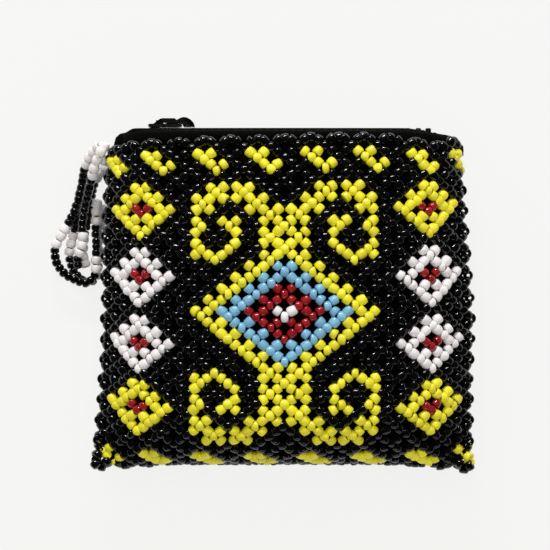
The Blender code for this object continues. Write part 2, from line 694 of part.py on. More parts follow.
def make_slider(group, cutters, material):
    """Two plates on a post, flanges that hold the rows in, and a crown that the pull hangs in."""
    channel = TOOTH_HALF_HEIGHT + RUN_CLEARANCE
    inner = RAIL_EDGE + RUN_CLEARANCE
    outer = inner + FLANGE_THICKNESS
    middle = slider_x()
    left, right = middle - SLIDER_LENGTH / 2, middle + SLIDER_LENGTH / 2
    top = ZIP_Y + channel + PLATE_THICKNESS
    shield = rounded([
        (left, FOLD_Z - outer), (right, FOLD_Z - outer + TAIL_TAPER),
        (right, FOLD_Z + outer - TAIL_TAPER), (left, FOLD_Z + outer),
    ], PLATE_CORNER)
    body = flat_piece("slider_body", [shield], ZIP_Y + channel, top, False, group, material)
    pieces = [flat_piece(
        "slider_under_plate", [shield], ZIP_Y - channel - PLATE_THICKNESS, ZIP_Y - channel, False, cutters
    )]
    slot = TAPE_THICKNESS + RUN_CLEARANCE
    bite = PLATE_THICKNESS / 2
    for outward in (-1, 1):
        for upward in (-1, 1):
            near, far = sorted((outward * inner, outward * (outer - FLANGE_STEP)))
            low, high = sorted((upward * slot, upward * (channel + bite)))
            pieces.append(make_box(
                f"slider_flange_{outward}_{upward}",
                (left + FLANGE_INDENT, ZIP_Y + low, FOLD_Z + near),
                (right - FLANGE_TAIL, ZIP_Y + high, FOLD_Z + far),
                cutters,
            ))
    post_half = TOOTH_TIP - RUN_CLEARANCE
    shoulder = left + POST_INDENT + POST_TIP
    wedge = [
        (left + POST_INDENT, FOLD_Z), (shoulder, FOLD_Z - post_half),
        (left + POST_LENGTH, FOLD_Z - post_half), (left + POST_LENGTH + POST_TIP, FOLD_Z),
        (left + POST_LENGTH, FOLD_Z + post_half), (shoulder, FOLD_Z + post_half),
    ]
    pieces.append(flat_piece(
        "slider_post", [wedge], ZIP_Y - channel - bite, ZIP_Y + channel + bite, False, cutters
    ))
    arch = crown_outline(middle, top, bite)
    pieces.append(flat_piece(
        "slider_crown", [arch], FOLD_Z - CROWN_HALF_WIDTH, FOLD_Z + CROWN_HALF_WIDTH, True, cutters
    ))
    for piece in pieces:
        cut_or_join(body, piece, "UNION")
    set_origin(body, Vector((middle, ZIP_Y, FOLD_Z)))
    for piece in pieces:
        piece.parent = body
        piece.matrix_parent_inverse = body.matrix_world.inverted()
    return body


def crown_outline(middle, base, bite):
    """Side outline of the crown: a bridge with a low nose towards -X."""
    left, right = middle - CROWN_HALF_LENGTH, middle + CROWN_HALF_LENGTH
    under = base + CROWN_WINDOW
    over = under + CROWN_BAR
    slope = CROWN_SLOPE
    return [
        (left - slope, base - bite), (left - slope, base), (left + slope, over - CROWN_BROW),
        (left + 2 * slope, over), (right - slope, over), (right, over - slope), (right, base - bite),
        (right - CROWN_LEG, base - bite), (right - CROWN_LEG, under), (left + CROWN_LEG, under),
        (left + CROWN_LEG, base - bite),
    ]


def make_pull(group, cutters, material, slider):
    """A pull whose cross bar turns in the crown's window, arched over the slider's tail."""
    channel = TOOTH_HALF_HEIGHT + RUN_CLEARANCE
    pivot = Vector((slider_x(), ZIP_Y + channel + PLATE_THICKNESS + CROWN_WINDOW / 2, FOLD_Z))
    bar = PULL_THICKNESS / 2
    profile = [(pivot.x - bar, pivot.y - bar), (pivot.x - bar, pivot.y + bar)]
    profile += [(pivot.x + x * MM, pivot.y + y * MM) for x, y in PULL_OVER + PULL_UNDER]
    pull = flat_piece(
        "pull_tab", [profile], FOLD_Z - PULL_HALF_WIDTH, FOLD_Z + PULL_HALF_WIDTH, True, group, material
    )
    window_half = PULL_HALF_WIDTH - PULL_ARM
    eye = make_box(
        "pull_eye",
        (pivot.x + bar, pivot.y - PULL_EYE_MARGIN, FOLD_Z - window_half),
        (pivot.x + PULL_EYE, pivot.y + 2 * PULL_EYE_MARGIN, FOLD_Z + window_half),
        cutters,
    )
    cut_or_join(pull, eye, "DIFFERENCE")
    set_origin(pull, pivot)
    for piece, carrier in ((eye, pull), (pull, slider)):
        piece.parent = carrier
        piece.matrix_parent_inverse = carrier.matrix_world.inverted()
        bpy.context.view_layer.update()
    return pull


def smooth_route(points, step):
    """Evenly spaced points on a smooth curve through the route's own points."""
    points = [Vector(point) for point in points]
    ends = [2 * points[0] - points[1], *points, 2 * points[-1] - points[-2]]
    fine = []
    for n in range(1, len(ends) - 2):
        a, b, c, d = ends[n - 1:n + 3]
        for k in range(ROUTE_SPANS):
            t = k / ROUTE_SPANS
            fine.append(0.5 * (2 * b + (c - a) * t + (2 * a - 5 * b + 4 * c - d) * t**2
                               + (3 * b - a - 3 * c + d) * t**3))
    fine.append(points[-1])
    run = [0.0]
    for near, far in zip(fine, fine[1:]):
        run.append(run[-1] + (far - near).length)
    count = max(2, round(run[-1] / step))
    spaced = []
    place = 0
    for k in range(count + 1):
        wanted = run[-1] * k / count
        while place < len(run) - 2 and run[place + 1] < wanted:
            place += 1
        share = (wanted - run[place]) / (run[place + 1] - run[place])
        spaced.append(fine[place].lerp(fine[place + 1], share))
    return spaced


def make_strands(group, material):
    """The strap's bead strands, each a plain round cord of its full length."""
    for number, route in enumerate(STRAND_ROUTES, start=1):
        points = smooth_route([tuple(value * MM for value in point) for point in route], STRAND_STEP)
        curve = bpy.data.curves.new(f"strap_strand_{number}", "CURVE")
        curve.dimensions = "3D"
        curve.bevel_depth = STRAND_DIAMETER / 2
        curve.bevel_resolution = 2
        curve.use_fill_caps = True
        spline = curve.splines.new("POLY")
        spline.points.add(len(points) - 1)
        for point, place in zip(spline.points, points):
            point.co = (*place, 1.0)
        curve.materials.append(material)
        group.objects.link(bpy.data.objects.new(f"strap_strand_{number}", curve))


def main():
    clear_scene()
    group = new_collection("beaded_clutch")
    cutters = new_collection("cutters")
    colours = {
        "black": new_material("black_beads", (0.012, 0.012, 0.014), 0.25),
        "white": new_material("white_beads", (0.86, 0.83, 0.84), 0.35),
        "yellow": new_material("yellow_beads", (0.88, 0.74, 0.03), 0.35),
        "blue": new_material("blue_beads", (0.2, 0.5, 0.74), 0.35),
        "red": new_material("red_beads", (0.45, 0.01, 0.015), 0.25),
    }
    cloth = new_material("black_cloth", (0.02, 0.02, 0.02), 0.9)
    plastic = new_material("black_zip_teeth", (0.015, 0.015, 0.015), 0.45)
    metal = new_material("black_lacquered_metal", (0.03, 0.03, 0.03), 0.2, 0.6)
    plans = plan_fields()
    covered = {cell for _, cells, _ in plans for cell in cells}
    make_net(group, cutters, colours["black"], covered)
    make_lining(group, cutters, cloth)
    for name, cells, colour in plans:
        make_field(name, cells, group, colours[colour])
    for name, front in (("front", True), ("back", False)):
        make_tape(f"zip_tape_{name}", front, group, cloth)
        make_teeth(f"zip_teeth_{name}", front, group, plastic)
    make_stops(group, metal)
    slider = make_slider(group, cutters, metal)
    make_pull(group, cutters, metal, slider)
    make_strands(group, colours["black"])


main()
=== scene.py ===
"""Looks of the netted bead clutch: threaded beads, cloth, zip, slider, bead strap, lamps and camera."""

import random
from math import atan, copysign, cos, exp, floor, hypot, pi, radians, sin

import bmesh
import bpy
import numpy as np
from bpy.props import FloatProperty, FloatVectorProperty, IntProperty, PointerProperty
from mathutils import Euler, Matrix, Vector


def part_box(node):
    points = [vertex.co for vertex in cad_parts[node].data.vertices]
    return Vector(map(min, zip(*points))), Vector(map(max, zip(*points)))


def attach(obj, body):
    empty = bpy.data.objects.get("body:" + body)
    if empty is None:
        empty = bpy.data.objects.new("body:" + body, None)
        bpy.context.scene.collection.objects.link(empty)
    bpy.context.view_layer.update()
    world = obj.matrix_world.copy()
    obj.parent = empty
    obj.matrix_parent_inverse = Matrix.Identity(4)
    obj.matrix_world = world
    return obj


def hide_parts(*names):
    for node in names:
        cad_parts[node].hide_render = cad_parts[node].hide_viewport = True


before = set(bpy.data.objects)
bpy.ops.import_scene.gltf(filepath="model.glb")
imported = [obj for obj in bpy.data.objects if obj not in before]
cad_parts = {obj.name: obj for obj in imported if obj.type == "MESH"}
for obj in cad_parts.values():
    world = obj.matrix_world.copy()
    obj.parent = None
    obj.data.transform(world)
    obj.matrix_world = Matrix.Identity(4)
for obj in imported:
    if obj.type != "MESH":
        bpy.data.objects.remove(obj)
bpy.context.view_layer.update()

bl_info = {
    "name": "Netted Bead Clutch",
    "version": (1, 0, 0),
    "blender": (4, 5, 0),
    "location": "View3D > Sidebar > Clutch",
    "description": "Threads a small netted bead clutch, with its lining, zip and strap",
    "category": "Add Mesh",
}

MM = 0.001
UP = Vector((0, 0, 1))

# Net lattice, as in the solid model
SIDE_COLUMNS = 15
HALF_ROWS = 16
ROUND_COLUMNS = 4 * SIDE_COLUMNS
ROW_PITCH = 3.09 * MM
LATTICE_Y = -5.0 * MM

# Outer form of the stuffed pouch
MOUTH_HALF = 50.4 * MM
BELLY_HALF = 53.0 * MM
BOTTOM_HALF = 53.6 * MM
FOLD_Z = 12.6 * MM
BELLY_RISE = 15.2 * MM
MOUTH_RISE = 10.3 * MM
BELLY_DROP = 13.6 * MM
MOUTH_DROP = 10.0 * MM
SIDE_TOP = 46.9 * MM
SIDE_BOTTOM = 43.0 * MM
ROLL_START = 8
ROLL_REACH = 16.5 * MM
MOUTH_LIFT = 1.4 * MM
RIGHT_LIFT = 1.5 * MM
LEFT_LIFT = 0.8 * MM
CORNER_LIFT = 2.2 * MM
# Small slips of the netting on its stuffing, with the row where each starts or peaks and its reach in rows
SIDE_SWAY = 1.0 * MM
SWAY_ROW, SWAY_ROWS = 1, 6
TOP_SPREAD = 1.2 * MM
TOP_SPREAD_ROW, TOP_SPREAD_ROWS = -9, 5
LOW_SLIDE = 2.0 * MM
LOW_SLIDE_ROW, LOW_SLIDE_ROWS = 7, 8
LOW_LIFT = 0.8 * MM
LOW_LIFT_ROW, LOW_LIFT_ROWS = 5, 10
CORNER_DROP = 0.9 * MM
CORNER_ROW, CORNER_ROWS = 9, 7
EAR_REACH = 1.0 * MM
EAR_RISE = 0.7
WIDEST_SHARE = 0.62
FRONT_POWER = 2.4
BACK_POWER = 4.0
FRONT_BELLY_BLUNT = 0.77
BACK_BELLY_BLUNT = 0.7
MOUTH_BLUNT = 0.42
SIDE_LAYER_SHARE = 1.2
BOTTOM_LAYER_SHARE = 1.5

# Depth of the bead middles under the net's outer surface
FRONT_DEPTH = 0.7 * MM
BACK_DEPTH = 1.6 * MM
FOLD_BLEND_START = 0.72
# The beads of the rim are pulled down between their neighbours by the seam with the tape
RIM_SINK = 0.3
RIM_DEPTH = 0.4 * MM

# Cloth layers: the soft lining swells against the beads
LINING_INSET = 2.8 * MM
CORNER_FILL = 0.5
CORNER_FILL_ROW, CORNER_FILL_ROWS = 9, 5
LINING_STEPS = 40
TAPE_INSET = 3.9 * MM
LINING_WALL = 0.9 * MM
LINING_TOP_ROW = -15.3
LINING_END_ROW = 15.3
HEM_ROW = -15.5
HEM_STITCHES = 40
HEM_SHARE = 0.9
STITCH_RADIUS = 0.13 * MM
STITCH_STAND = 0.12 * MM
STITCH_BITE = 0.02 * MM

# Zip
TAPE_RISE = 2.26 * MM
ZIP_Y = LATTICE_Y + HALF_ROWS * ROW_PITCH + TAPE_RISE
TAPE_THICKNESS = 0.7 * MM
TAPE_SHOULDER = 0.8 * MM
TAPE_PILLOW = 0.8 * MM
LEFT_END_DROP = 0.4 * MM
RIGHT_END_DROP = 0.9 * MM
RIGHT_SINK_START = 34.0 * MM
TAPE_FLAT = 42.2 * MM
TAPE_END = 45.0 * MM
# How the tape's ends turn down into the corners of the mouth, from their last full section
LEFT_TUCKS = ((-0.9, -0.2), (-2.1, -1.3), (-2.6, -3.2))
RIGHT_TUCKS = ((1.6, -0.4), (3.1, -1.2), (4.9, -3.2))
SEAM_GAP = 0.3 * MM
CHAIN_HALF = 39.2 * MM
RAIL_EDGE = 2.7 * MM
TOOTH_HEAD = 0.5 * MM
TOOTH_WAIST = 0.8 * MM
TOOTH_NECK_SHARE = 0.22
TOOTH_ROOT = 0.05 * MM
TOOTH_BEVEL = 0.12 * MM
CORD_RADIUS = 0.42 * MM
CORD_SINK = 0.35 * MM
STOP_ROUND, STOP_BEVEL = 0.35 * MM, 0.2 * MM
SLIDER_X = -33.5 * MM
CHANNEL = 1.2 * MM
PLATE_THICKNESS = 0.85 * MM
PLATE_TAPER = 0.7 * MM
PLATE_ROUND, PLATE_BEVEL = 1.2 * MM, 0.22 * MM
FLANGE_OUTER, FLANGE_INNER = 0.1 * MM, 0.8 * MM
FLANGE_LEFT, FLANGE_RIGHT = 1.5 * MM, 0.9 * MM
FLANGE_ROUND, FLANGE_BEVEL = 0.15 * MM, 0.1 * MM
POST_HALF = 0.7 * MM
CROWN_WINDOW = 1.2 * MM
CROWN_HALF = 0.85 * MM
CROWN_REACH = 3.3 * MM
CROWN_BEAM = 0.55 * MM
CROWN_LEG = 0.9 * MM
PULL_PIVOT = Vector((SLIDER_X, ZIP_Y + CHANNEL + PLATE_THICKNESS + CROWN_WINDOW / 2, FOLD_Z))
# Side outline of the pull past its eye, from the pivot: it arches up and its tip curls down to the tape
PULL_OVER = (
    (2.4, 0.3), (3.4, 0.66), (4.4, 1.16), (5.3, 1.36), (6.3, 1.16), (7.3, 0.56), (8.1, -0.36), (8.4, -1.4),
)
PULL_UNDER = ((7.3, -1.4), (7.0, -0.7), (6.3, -0.1), (5.3, 0.16), (4.4, 0.1), (3.5, -0.16), (2.6, -0.3))
# Turned-down cheeks under the pull's arch
PULL_CHEEK = (
    (2.6, -0.42), (4.85, -0.42), (5.1, -1.25), (7.5, -1.3), (7.9, -0.5),
    (7.0, 0.45), (5.4, 0.9), (4.2, 0.7), (2.6, 0.1),
)
CHEEK_THICKNESS = 0.4 * MM
CHEEK_INSET = 0.3 * MM

# Strap: four bead strands in two layers
STRAND_ROUTES = (
    ((-51.9, 43.1, 12.8), (-54.2, 41.0, 10.4), (-56.4, 37.6, 7.6), (-57.6, 33.0, 5.4),
     (-58.6, 28.2, 4.8), (-60.4, 23.4, 4.8), (-62.8, 19.2, 4.8), (-65.0, 15.2, 4.8),
     (-65.4, 11.2, 4.8), (-63.6, 7.6, 4.8), (-60.2, 5.4, 4.8), (-56.6, 4.0, 4.8),
     (-54.0, 6.2, 4.8), (-53.6, 10.4, 4.8), (-53.6, 14.6, 4.8), (-53.7, 19.2, 4.8),
     (-53.6, 23.8, 5.0), (-53.2, 28.6, 5.8)),
    ((-52.1, 39.7, 13.6), (-53.4, 36.8, 12.8), (-54.4, 33.4, 10.6), (-55.6, 29.4, 9.0),
     (-56.7, 25.2, 8.0), (-57.4, 21.0, 7.6), (-57.1, 17.0, 7.6), (-57.8, 13.4, 7.2),
     (-58.9, 10.8, 6.2), (-58.8, 9.0, 5.6), (-57.8, 8.0, 5.2)),
    ((-50.7, 41.2, 7.0), (-53.9, 39.8, 4.4), (-56.9, 36.6, 2.2), (-58.0, 32.4, 1.6),
     (-58.6, 27.8, 1.6), (-59.4, 23.2, 1.6), (-60.2, 18.6, 1.6), (-61.3, 14.6, 1.6),
     (-61.5, 10.6, 1.6), (-59.8, 6.8, 1.6), (-56.8, 4.3, 1.6), (-54.2, 5.4, 1.6),
     (-53.3, 9.0, 1.6), (-53.4, 13.0, 1.6), (-53.4, 17.2, 1.6), (-52.6, 21.6, 1.6),
     (-51.0, 26.2, 1.6)),
    ((-50.2, 37.4, 6.2), (-52.4, 35.6, 3.6), (-54.6, 32.6, 1.9), (-55.4, 28.2, 1.6),
     (-56.2, 23.8, 1.6), (-57.0, 19.4, 1.6), (-57.7, 15.2, 1.6), (-57.6, 11.6, 1.6),
     (-57.0, 9.2, 1.6)),
)
ROUTE_SPANS = 20
STRAP_STRAY = 0.1 * MM
THREAD_STEPS = 60
# Beads along each strand from the corner of the mouth: how many, and of which colour
STRAND_RUNS = (
    ((4, "white"), (10, "black"), (3, "white"), (11, "black"), (2, "white"), (5, "black"), (3, "white")),
    ((3, "white"), (9, "black"), (3, "white"), (3, "black")),
    ((4, "white"), (10, "black"), (3, "white"), (7, "black"), (9, "white")),
    ((3, "white"), (9, "black"), (4, "white")),
)
# White beads at the corner that gather the strands, and the way their holes point
KNOT_LEAN = (-0.5, -0.8, -0.3)
KNOT_PLACES = ((-50.5, 42.6, 13.4), (-51.6, 40.9, 15.0), (-50.9, 38.6, 11.6))


class ClutchBeads(bpy.types.PropertyGroup):
    """Sizes of the seed beads, and how far single beads stray from them"""

    diameter: FloatProperty(
        name="Diameter", description="Outer diameter of a net bead", default=3.15 * MM, unit="LENGTH",
        precision=5)
    length: FloatProperty(
        name="Length", description="Length of a bead along its hole", default=2.4 * MM, unit="LENGTH",
        precision=5)
    hole: FloatProperty(
        name="Hole", description="Diameter of the hole as a share of the bead's", default=0.28,
        subtype="FACTOR")
    roundness: FloatProperty(
        name="Roundness", description="2 is an oval wall section, more is squarer", default=2.7, min=2.0,
        max=6.0)
    red_share: FloatProperty(
        name="Red bead share", description="Size of a red bead next to the others", default=0.88,
        subtype="FACTOR")
    size_spread: FloatProperty(
        name="Size spread", description="How far a bead's sizes stray", default=0.13, subtype="FACTOR")
    tilt_spread: FloatProperty(
        name="Tilt spread", description="How far a bead turns on its thread", default=radians(10),
        subtype="ANGLE")
    place_spread: FloatProperty(
        name="Place spread", description="How far a bead strays from its place", default=0.12 * MM,
        unit="LENGTH")
    sides: IntProperty(
        name="Sides", description="Facets round a bead of the front", default=14, min=8, max=24)
    strap_diameter: FloatProperty(
        name="Strap diameter", description="Outer diameter of a black strap bead", default=2.75 * MM,
        unit="LENGTH")
    white_diameter: FloatProperty(
        name="White diameter", description="Outer diameter of a white strap bead", default=3.1 * MM,
        unit="LENGTH")
    strap_roundness: FloatProperty(
        name="Strap roundness", description="Wall section of a strap bead", default=2.0, min=2.0, max=6.0)
    wedge_spread: FloatProperty(
        name="Wedge spread", description="How far a bead narrows to one end", default=0.13, subtype="FACTOR")
    strap_pitch: FloatProperty(
        name="Strap pitch", description="Step of the black beads along a strand", default=1.78 * MM,
        unit="LENGTH")
    white_pitch: FloatProperty(
        name="White pitch", description="Step of the white beads along a strand", default=2.4 * MM,
        unit="LENGTH")
    seed: IntProperty(name="Seed", description="Start of the random draws", default=11)


class ClutchColours(bpy.types.PropertyGroup):
    """Colours of the glass, the cloth and the metal"""

    black: FloatVectorProperty(
        name="Black glass", description="Colour of the ground", default=(0.0022, 0.0022, 0.0026),
        subtype="COLOR")
    white: FloatVectorProperty(
        name="White glass", description="Colour of the white beads", default=(0.83, 0.79, 0.775),
        subtype="COLOR")
    yellow: FloatVectorProperty(
        name="Yellow glass", description="Colour of the yellow beads", default=(0.88, 0.79, 0.022),
        subtype="COLOR")
    blue: FloatVectorProperty(
        name="Blue glass", description="Colour of the blue beads", default=(0.21, 0.48, 0.68),
        subtype="COLOR")
    red: FloatVectorProperty(
        name="Red glass", description="Colour of the red beads", default=(0.33, 0.009, 0.012),
        subtype="COLOR")
    cloth: FloatVectorProperty(
        name="Cloth", description="Colour of the lining and the zip tape", default=(0.0028, 0.0023, 0.0018),
        subtype="COLOR")
    metal: FloatVectorProperty(
        name="Lacquer", description="Colour of the slider's lacquer", default=(0.01, 0.0095, 0.009),
        subtype="COLOR")


class ClutchZip(bpy.types.PropertyGroup):
    """Sizes of the zip's teeth and slider"""

    tooth_pitch: FloatProperty(
        name="Tooth pitch", description="Step of the teeth", default=3.0 * MM, unit="LENGTH")
    tooth_length: FloatProperty(
        name="Tooth length", description="A tooth's size along the zip", default=1.5 * MM, unit="LENGTH")
    tooth_height: FloatProperty(
        name="Tooth height", description="Thickness of a tooth", default=1.8 * MM, unit="LENGTH")
    tooth_tip: FloatProperty(
        name="Tooth tip", description="From the zip's middle to a tooth's tip", default=1.0 * MM,
        unit="LENGTH")
    slider_length: FloatProperty(
        name="Slider length", description="Length of the slider's plates", default=9.5 * MM, unit="LENGTH")
    slider_half_width: FloatProperty(
        name="Slider half width", description="Half the width of the plates", default=3.8 * MM, unit="LENGTH")
    pull_half_width: FloatProperty(
        name="Pull half width", description="Half the width of the pull", default=2.3 * MM, unit="LENGTH")
    pull_thickness: FloatProperty(
        name="Pull bar", description="Thickness of the pull's cross bar", default=0.6 * MM, unit="LENGTH")
    pull_arm: FloatProperty(
        name="Pull arm", description="Width of the arms beside the pull's eye", default=1.0 * MM,
        unit="LENGTH")
    pull_eye: FloatProperty(
        name="Pull eye", description="From the pull's pivot to the end of its eye", default=4.5 * MM,
        unit="LENGTH")


class ClutchStage(bpy.types.PropertyGroup):
    """Camera, lamps and floor"""

    camera_x: FloatProperty(name="Camera X", description="Camera place", default=-2.65 * MM, unit="LENGTH")
    camera_y: FloatProperty(name="Camera Y", description="Camera place", default=6.45 * MM, unit="LENGTH")
    camera_z: FloatProperty(
        name="Camera height", description="Camera place", default=578.6 * MM, unit="LENGTH")
    frame_width: FloatProperty(
        name="Frame width", description="Width seen at the pouch's top", default=150.3 * MM, unit="LENGTH")
    frame_plane: FloatProperty(
        name="Frame plane", description="Height of the pouch's top", default=28.6 * MM, unit="LENGTH")
    floor_tone: FloatVectorProperty(
        name="Floor tone", description="Colour of the floor", default=(0.919, 0.919, 0.902), subtype="COLOR")
    shadow_share: FloatProperty(
        name="Shadow share", description="How much of the real shadow shows", default=0.09, subtype="FACTOR")
    key_watts: FloatProperty(name="Key lamp", description="Power of the key lamp", default=3.9)
    over_watts: FloatProperty(name="Over lamp", description="Power of the overhead lamp", default=4.0)
    fill_watts: FloatProperty(name="Fill lamp", description="Power of the low front lamp", default=0.5)
    sky: FloatProperty(name="Sky", description="Strength of the even light", default=0.35)
    sky_gloss: FloatProperty(name="Sky gloss", description="Strength of the sky in reflections", default=0.02)


def smooth_step(t):
    t = min(1.0, max(0.0, t))
    return t * t * (3 - 2 * t)


def half_width(row):
    share = (row + HALF_ROWS) / (2 * HALF_ROWS)
    grown = sin(min(share / WIDEST_SHARE, 1.0) * pi / 2)
    flared = smooth_step((share - WIDEST_SHARE) / (1 - WIDEST_SHARE))
    return MOUTH_HALF + (BELLY_HALF - MOUTH_HALF) * grown + (BOTTOM_HALF - BELLY_HALF) * flared


def half_thickness(row, mouth, belly):
    """Height of the front or the back over the fold plane, rolling to nothing at the bottom seam."""
    if row > ROLL_START:
        return belly * cos((row - ROLL_START) / (HALF_ROWS - ROLL_START) * pi / 2)
    return mouth + (belly - mouth) * sin(min((row + HALF_ROWS) / HALF_ROWS, 1.0) * pi / 2)


def row_height(row, side):
    """Y of a row: full pitch down the middle, a roll at the bottom, even steps at the side folds."""
    middle = -ROW_PITCH * min(row, ROLL_START)
    if row > ROLL_START:
        middle -= ROLL_REACH * sin((row - ROLL_START) / (HALF_ROWS - ROLL_START) * pi / 2)
    share = (row + HALF_ROWS) / (2 * HALF_ROWS)
    edge = SIDE_TOP - (SIDE_TOP + SIDE_BOTTOM) * share
    return LATTICE_Y + middle + (edge - middle) * side**4


def rim_lift(row, side):
    """The front rim stands a little higher right of the middle."""
    hump = smooth_step((side + 0.75) / 1.2) * (1 - smooth_step((side - 0.5) / 0.25))
    return MOUTH_LIFT * hump * max(0.0, -row / HALF_ROWS) ** 2


def side_lift(row, side):
    """The netting is pushed up beside the belly, and most at the right corner of the mouth."""
    share = max(0.0, -row / HALF_ROWS)
    beside = RIGHT_LIFT * smooth_step((side - 0.4) / 0.3) + LEFT_LIFT * smooth_step((-side - 0.4) / 0.3)
    return beside * sin(pi * share) + CORNER_LIFT * smooth_step((side - 0.78) / 0.15) * share**1.5


def sideways_slide(row, side):
    """How far the netting has slid along X: out at the folds and top hooks, and left at the bottom right."""
    swayed = SIDE_SWAY * side**4 * exp(-(((row - SWAY_ROW) / SWAY_ROWS) ** 2))
    top = smooth_step((TOP_SPREAD_ROW - row) / TOP_SPREAD_ROWS) * smooth_step((abs(side) - 0.45) / 0.2)
    top *= 1 - smooth_step((abs(side) - 0.8) / 0.2)
    low = smooth_step((row - LOW_SLIDE_ROW) / LOW_SLIDE_ROWS)
    low *= smooth_step((side + 0.4) / 0.8) * (1 - smooth_step((side - 0.45) / 0.55))
    return swayed + TOP_SPREAD * copysign(top, side) - LOW_SLIDE * low


def corner_pull(row, side):
    """The bottom corners are pulled down, and the left one out to a small ear."""
    low = smooth_step((row - CORNER_ROW) / CORNER_ROWS)
    near = smooth_step((abs(side) - 0.45) / 0.5)
    tip = smooth_step((-side - 0.7) / 0.3)
    return -EAR_REACH * tip * low, -CORNER_DROP * (near - EAR_RISE * tip) * low


def pouch_point(column, row, inset=0.0):
    """A point of the pouch's wall. An inset draws it in towards the middle of the mouth."""
    column = (column + SIDE_COLUMNS) % ROUND_COLUMNS - SIDE_COLUMNS
    on_front = column <= SIDE_COLUMNS
    side = (column if on_front else 2 * SIDE_COLUMNS - column) / SIDE_COLUMNS
    across = sin(side * pi / 4) / sin(pi / 4)
    near_mouth = 1 - smooth_step((row + HALF_ROWS) / (0.75 * HALF_ROWS))
    if on_front:
        blunt = FRONT_BELLY_BLUNT + (MOUTH_BLUNT - FRONT_BELLY_BLUNT) * near_mouth
        crown = max(0.0, 1 - abs(across) ** FRONT_POWER) ** blunt
        z = half_thickness(row, MOUTH_RISE, BELLY_RISE) * crown
        y = row_height(row, abs(side)) + rim_lift(row, side) + side_lift(row, side)
    else:
        blunt = BACK_BELLY_BLUNT + (MOUTH_BLUNT - BACK_BELLY_BLUNT) * near_mouth
        crown = max(0.0, 1 - abs(across) ** BACK_POWER) ** blunt
        z = max(-FOLD_Z, -half_thickness(row, MOUTH_DROP, BELLY_DROP) * crown)
        y = row_height(row, abs(side)) + side_lift(row, side)
    mouth_y = row_height(-HALF_ROWS, 0.0)
    depth = mouth_y - row_height(HALF_ROWS, 0.0)
    pulled_x, pulled_y = corner_pull(row, side)
    x = half_width(row) * across + sideways_slide(row, side) + pulled_x
    lifted = sin(pi * min(1.0, max(0.0, (row - LOW_LIFT_ROW) / LOW_LIFT_ROWS)))
    y += pulled_y + LOW_LIFT * lifted * (1 - side**4)
    return Vector((
        x * (1 - SIDE_LAYER_SHARE * inset / BELLY_HALF),
        mouth_y + (y - mouth_y) * (1 - BOTTOM_LAYER_SHARE * inset / depth),
        FOLD_Z + z * (1 - inset / BELLY_RISE),
    ))


def wall_normal(column, row):
    step = 0.25
    low = max(-HALF_ROWS, row - step)
    high = min(HALF_ROWS, row + step)
    along = pouch_point(column, high) - pouch_point(column, low)
    round_it = pouch_point(column + step, row) - pouch_point(column - step, row)
    normal = along.cross(round_it)
    if normal.length < 1e-9:
        return Vector((copysign(1.0, pouch_point(column, row).x), -1.0, 0.0)).normalized()
    return normal.normalized()


def bead_depth(column):
    """Beads stand proudest on the front and sink to the surface at the folds and the back."""
    column = (column + SIDE_COLUMNS) % ROUND_COLUMNS - SIDE_COLUMNS
    if column > SIDE_COLUMNS:
        return BACK_DEPTH
    turned = smooth_step((abs(column) / SIDE_COLUMNS - FOLD_BLEND_START) / (1 - FOLD_BLEND_START))
    return FRONT_DEPTH + (BACK_DEPTH - FRONT_DEPTH) * turned


def net_place(column, row):
    """Middle of a net bead, the direction of its hole, and the way out of the wall."""
    out = wall_normal(column, row)
    depth = bead_depth(column)
    if row == -HALF_ROWS:
        row += RIM_SINK
        depth += RIM_DEPTH
    centre = pouch_point(column, row) - out * depth
    if column == floor(column):
        along = pouch_point(column + 0.5, row) - pouch_point(column - 0.5, row)
    else:
        up_right = (floor(column) + floor(row)) % 2
        near, far = (row + 0.5, row - 0.5) if up_right else (row - 0.5, row + 0.5)
        along = pouch_point(column + 0.5, far) - pouch_point(column - 0.5, near)
    return centre, along.normalized(), out


def net_beads(first_column, last_column, rows):
    """All bead places of a stretch of net: shared beads, and bridging beads at the half steps."""
    places = []
    for twice_row in range(2 * rows[0], 2 * rows[1] + 1):
        for twice_column in range(2 * first_column, 2 * last_column + 1):
            bridging = twice_row % 2 and twice_column % 2
            shared = not twice_row % 2 and not twice_column % 2 and (twice_row + twice_column) % 4 == 0
            if bridging or shared:
                places.append((twice_column / 2, twice_row / 2))
    return places


def stitch(column, row):
    """A shared bead with the two bridging beads above it."""
    return {(column, row), (column - 0.5, row - 0.5), (column + 0.5, row - 0.5)}


def diamond_ring(column, row, size):
    """The beads of all stitches at one step count from a middle stitch."""
    beads = set()
    for along in range(-size, size + 1):
        for up in {size - abs(along), abs(along) - size}:
            beads |= stitch(column + along, row + up)
    return beads


def distance_to_path(point, path):
    shortest = float("inf")
    for (ax, ay), (bx, by) in zip(path, path[1:]):
        dx, dy = bx - ax, by - ay
        share = ((point[0] - ax) * dx + (point[1] - ay) * dy) / (dx * dx + dy * dy)
        share = min(1.0, max(0.0, share))
        shortest = min(shortest, hypot(point[0] - ax - share * dx, point[1] - ay - share * dy))
    return shortest


SCROLL_ARM = ((1, 9), (2, 10), (3, 11), (5, 11), (6, 10))
SCROLL_CURL = ((6.25, 10), (6.25, 6), (5, 5), (4, 6), (3.65, 7), (4, 8))
SCROLL_BARB = ((3.5, 8.5), (4.5, 8.5))
SCROLL_ARM_REACH = 0.75
SCROLL_CURL_REACH = 0.6


def scroll_bead(column, row):
    """True for a bead of the stem or of a scroll, which mirror left to right and top to bottom."""
    place = (abs(column), abs(row))
    if place[0] <= 1.5 and 5 <= place[1] <= 9.5:
        return True
    return (
        distance_to_path(place, SCROLL_ARM) <= SCROLL_ARM_REACH
        or distance_to_path(place, SCROLL_CURL) <= SCROLL_CURL_REACH
        or place in SCROLL_BARB
    )


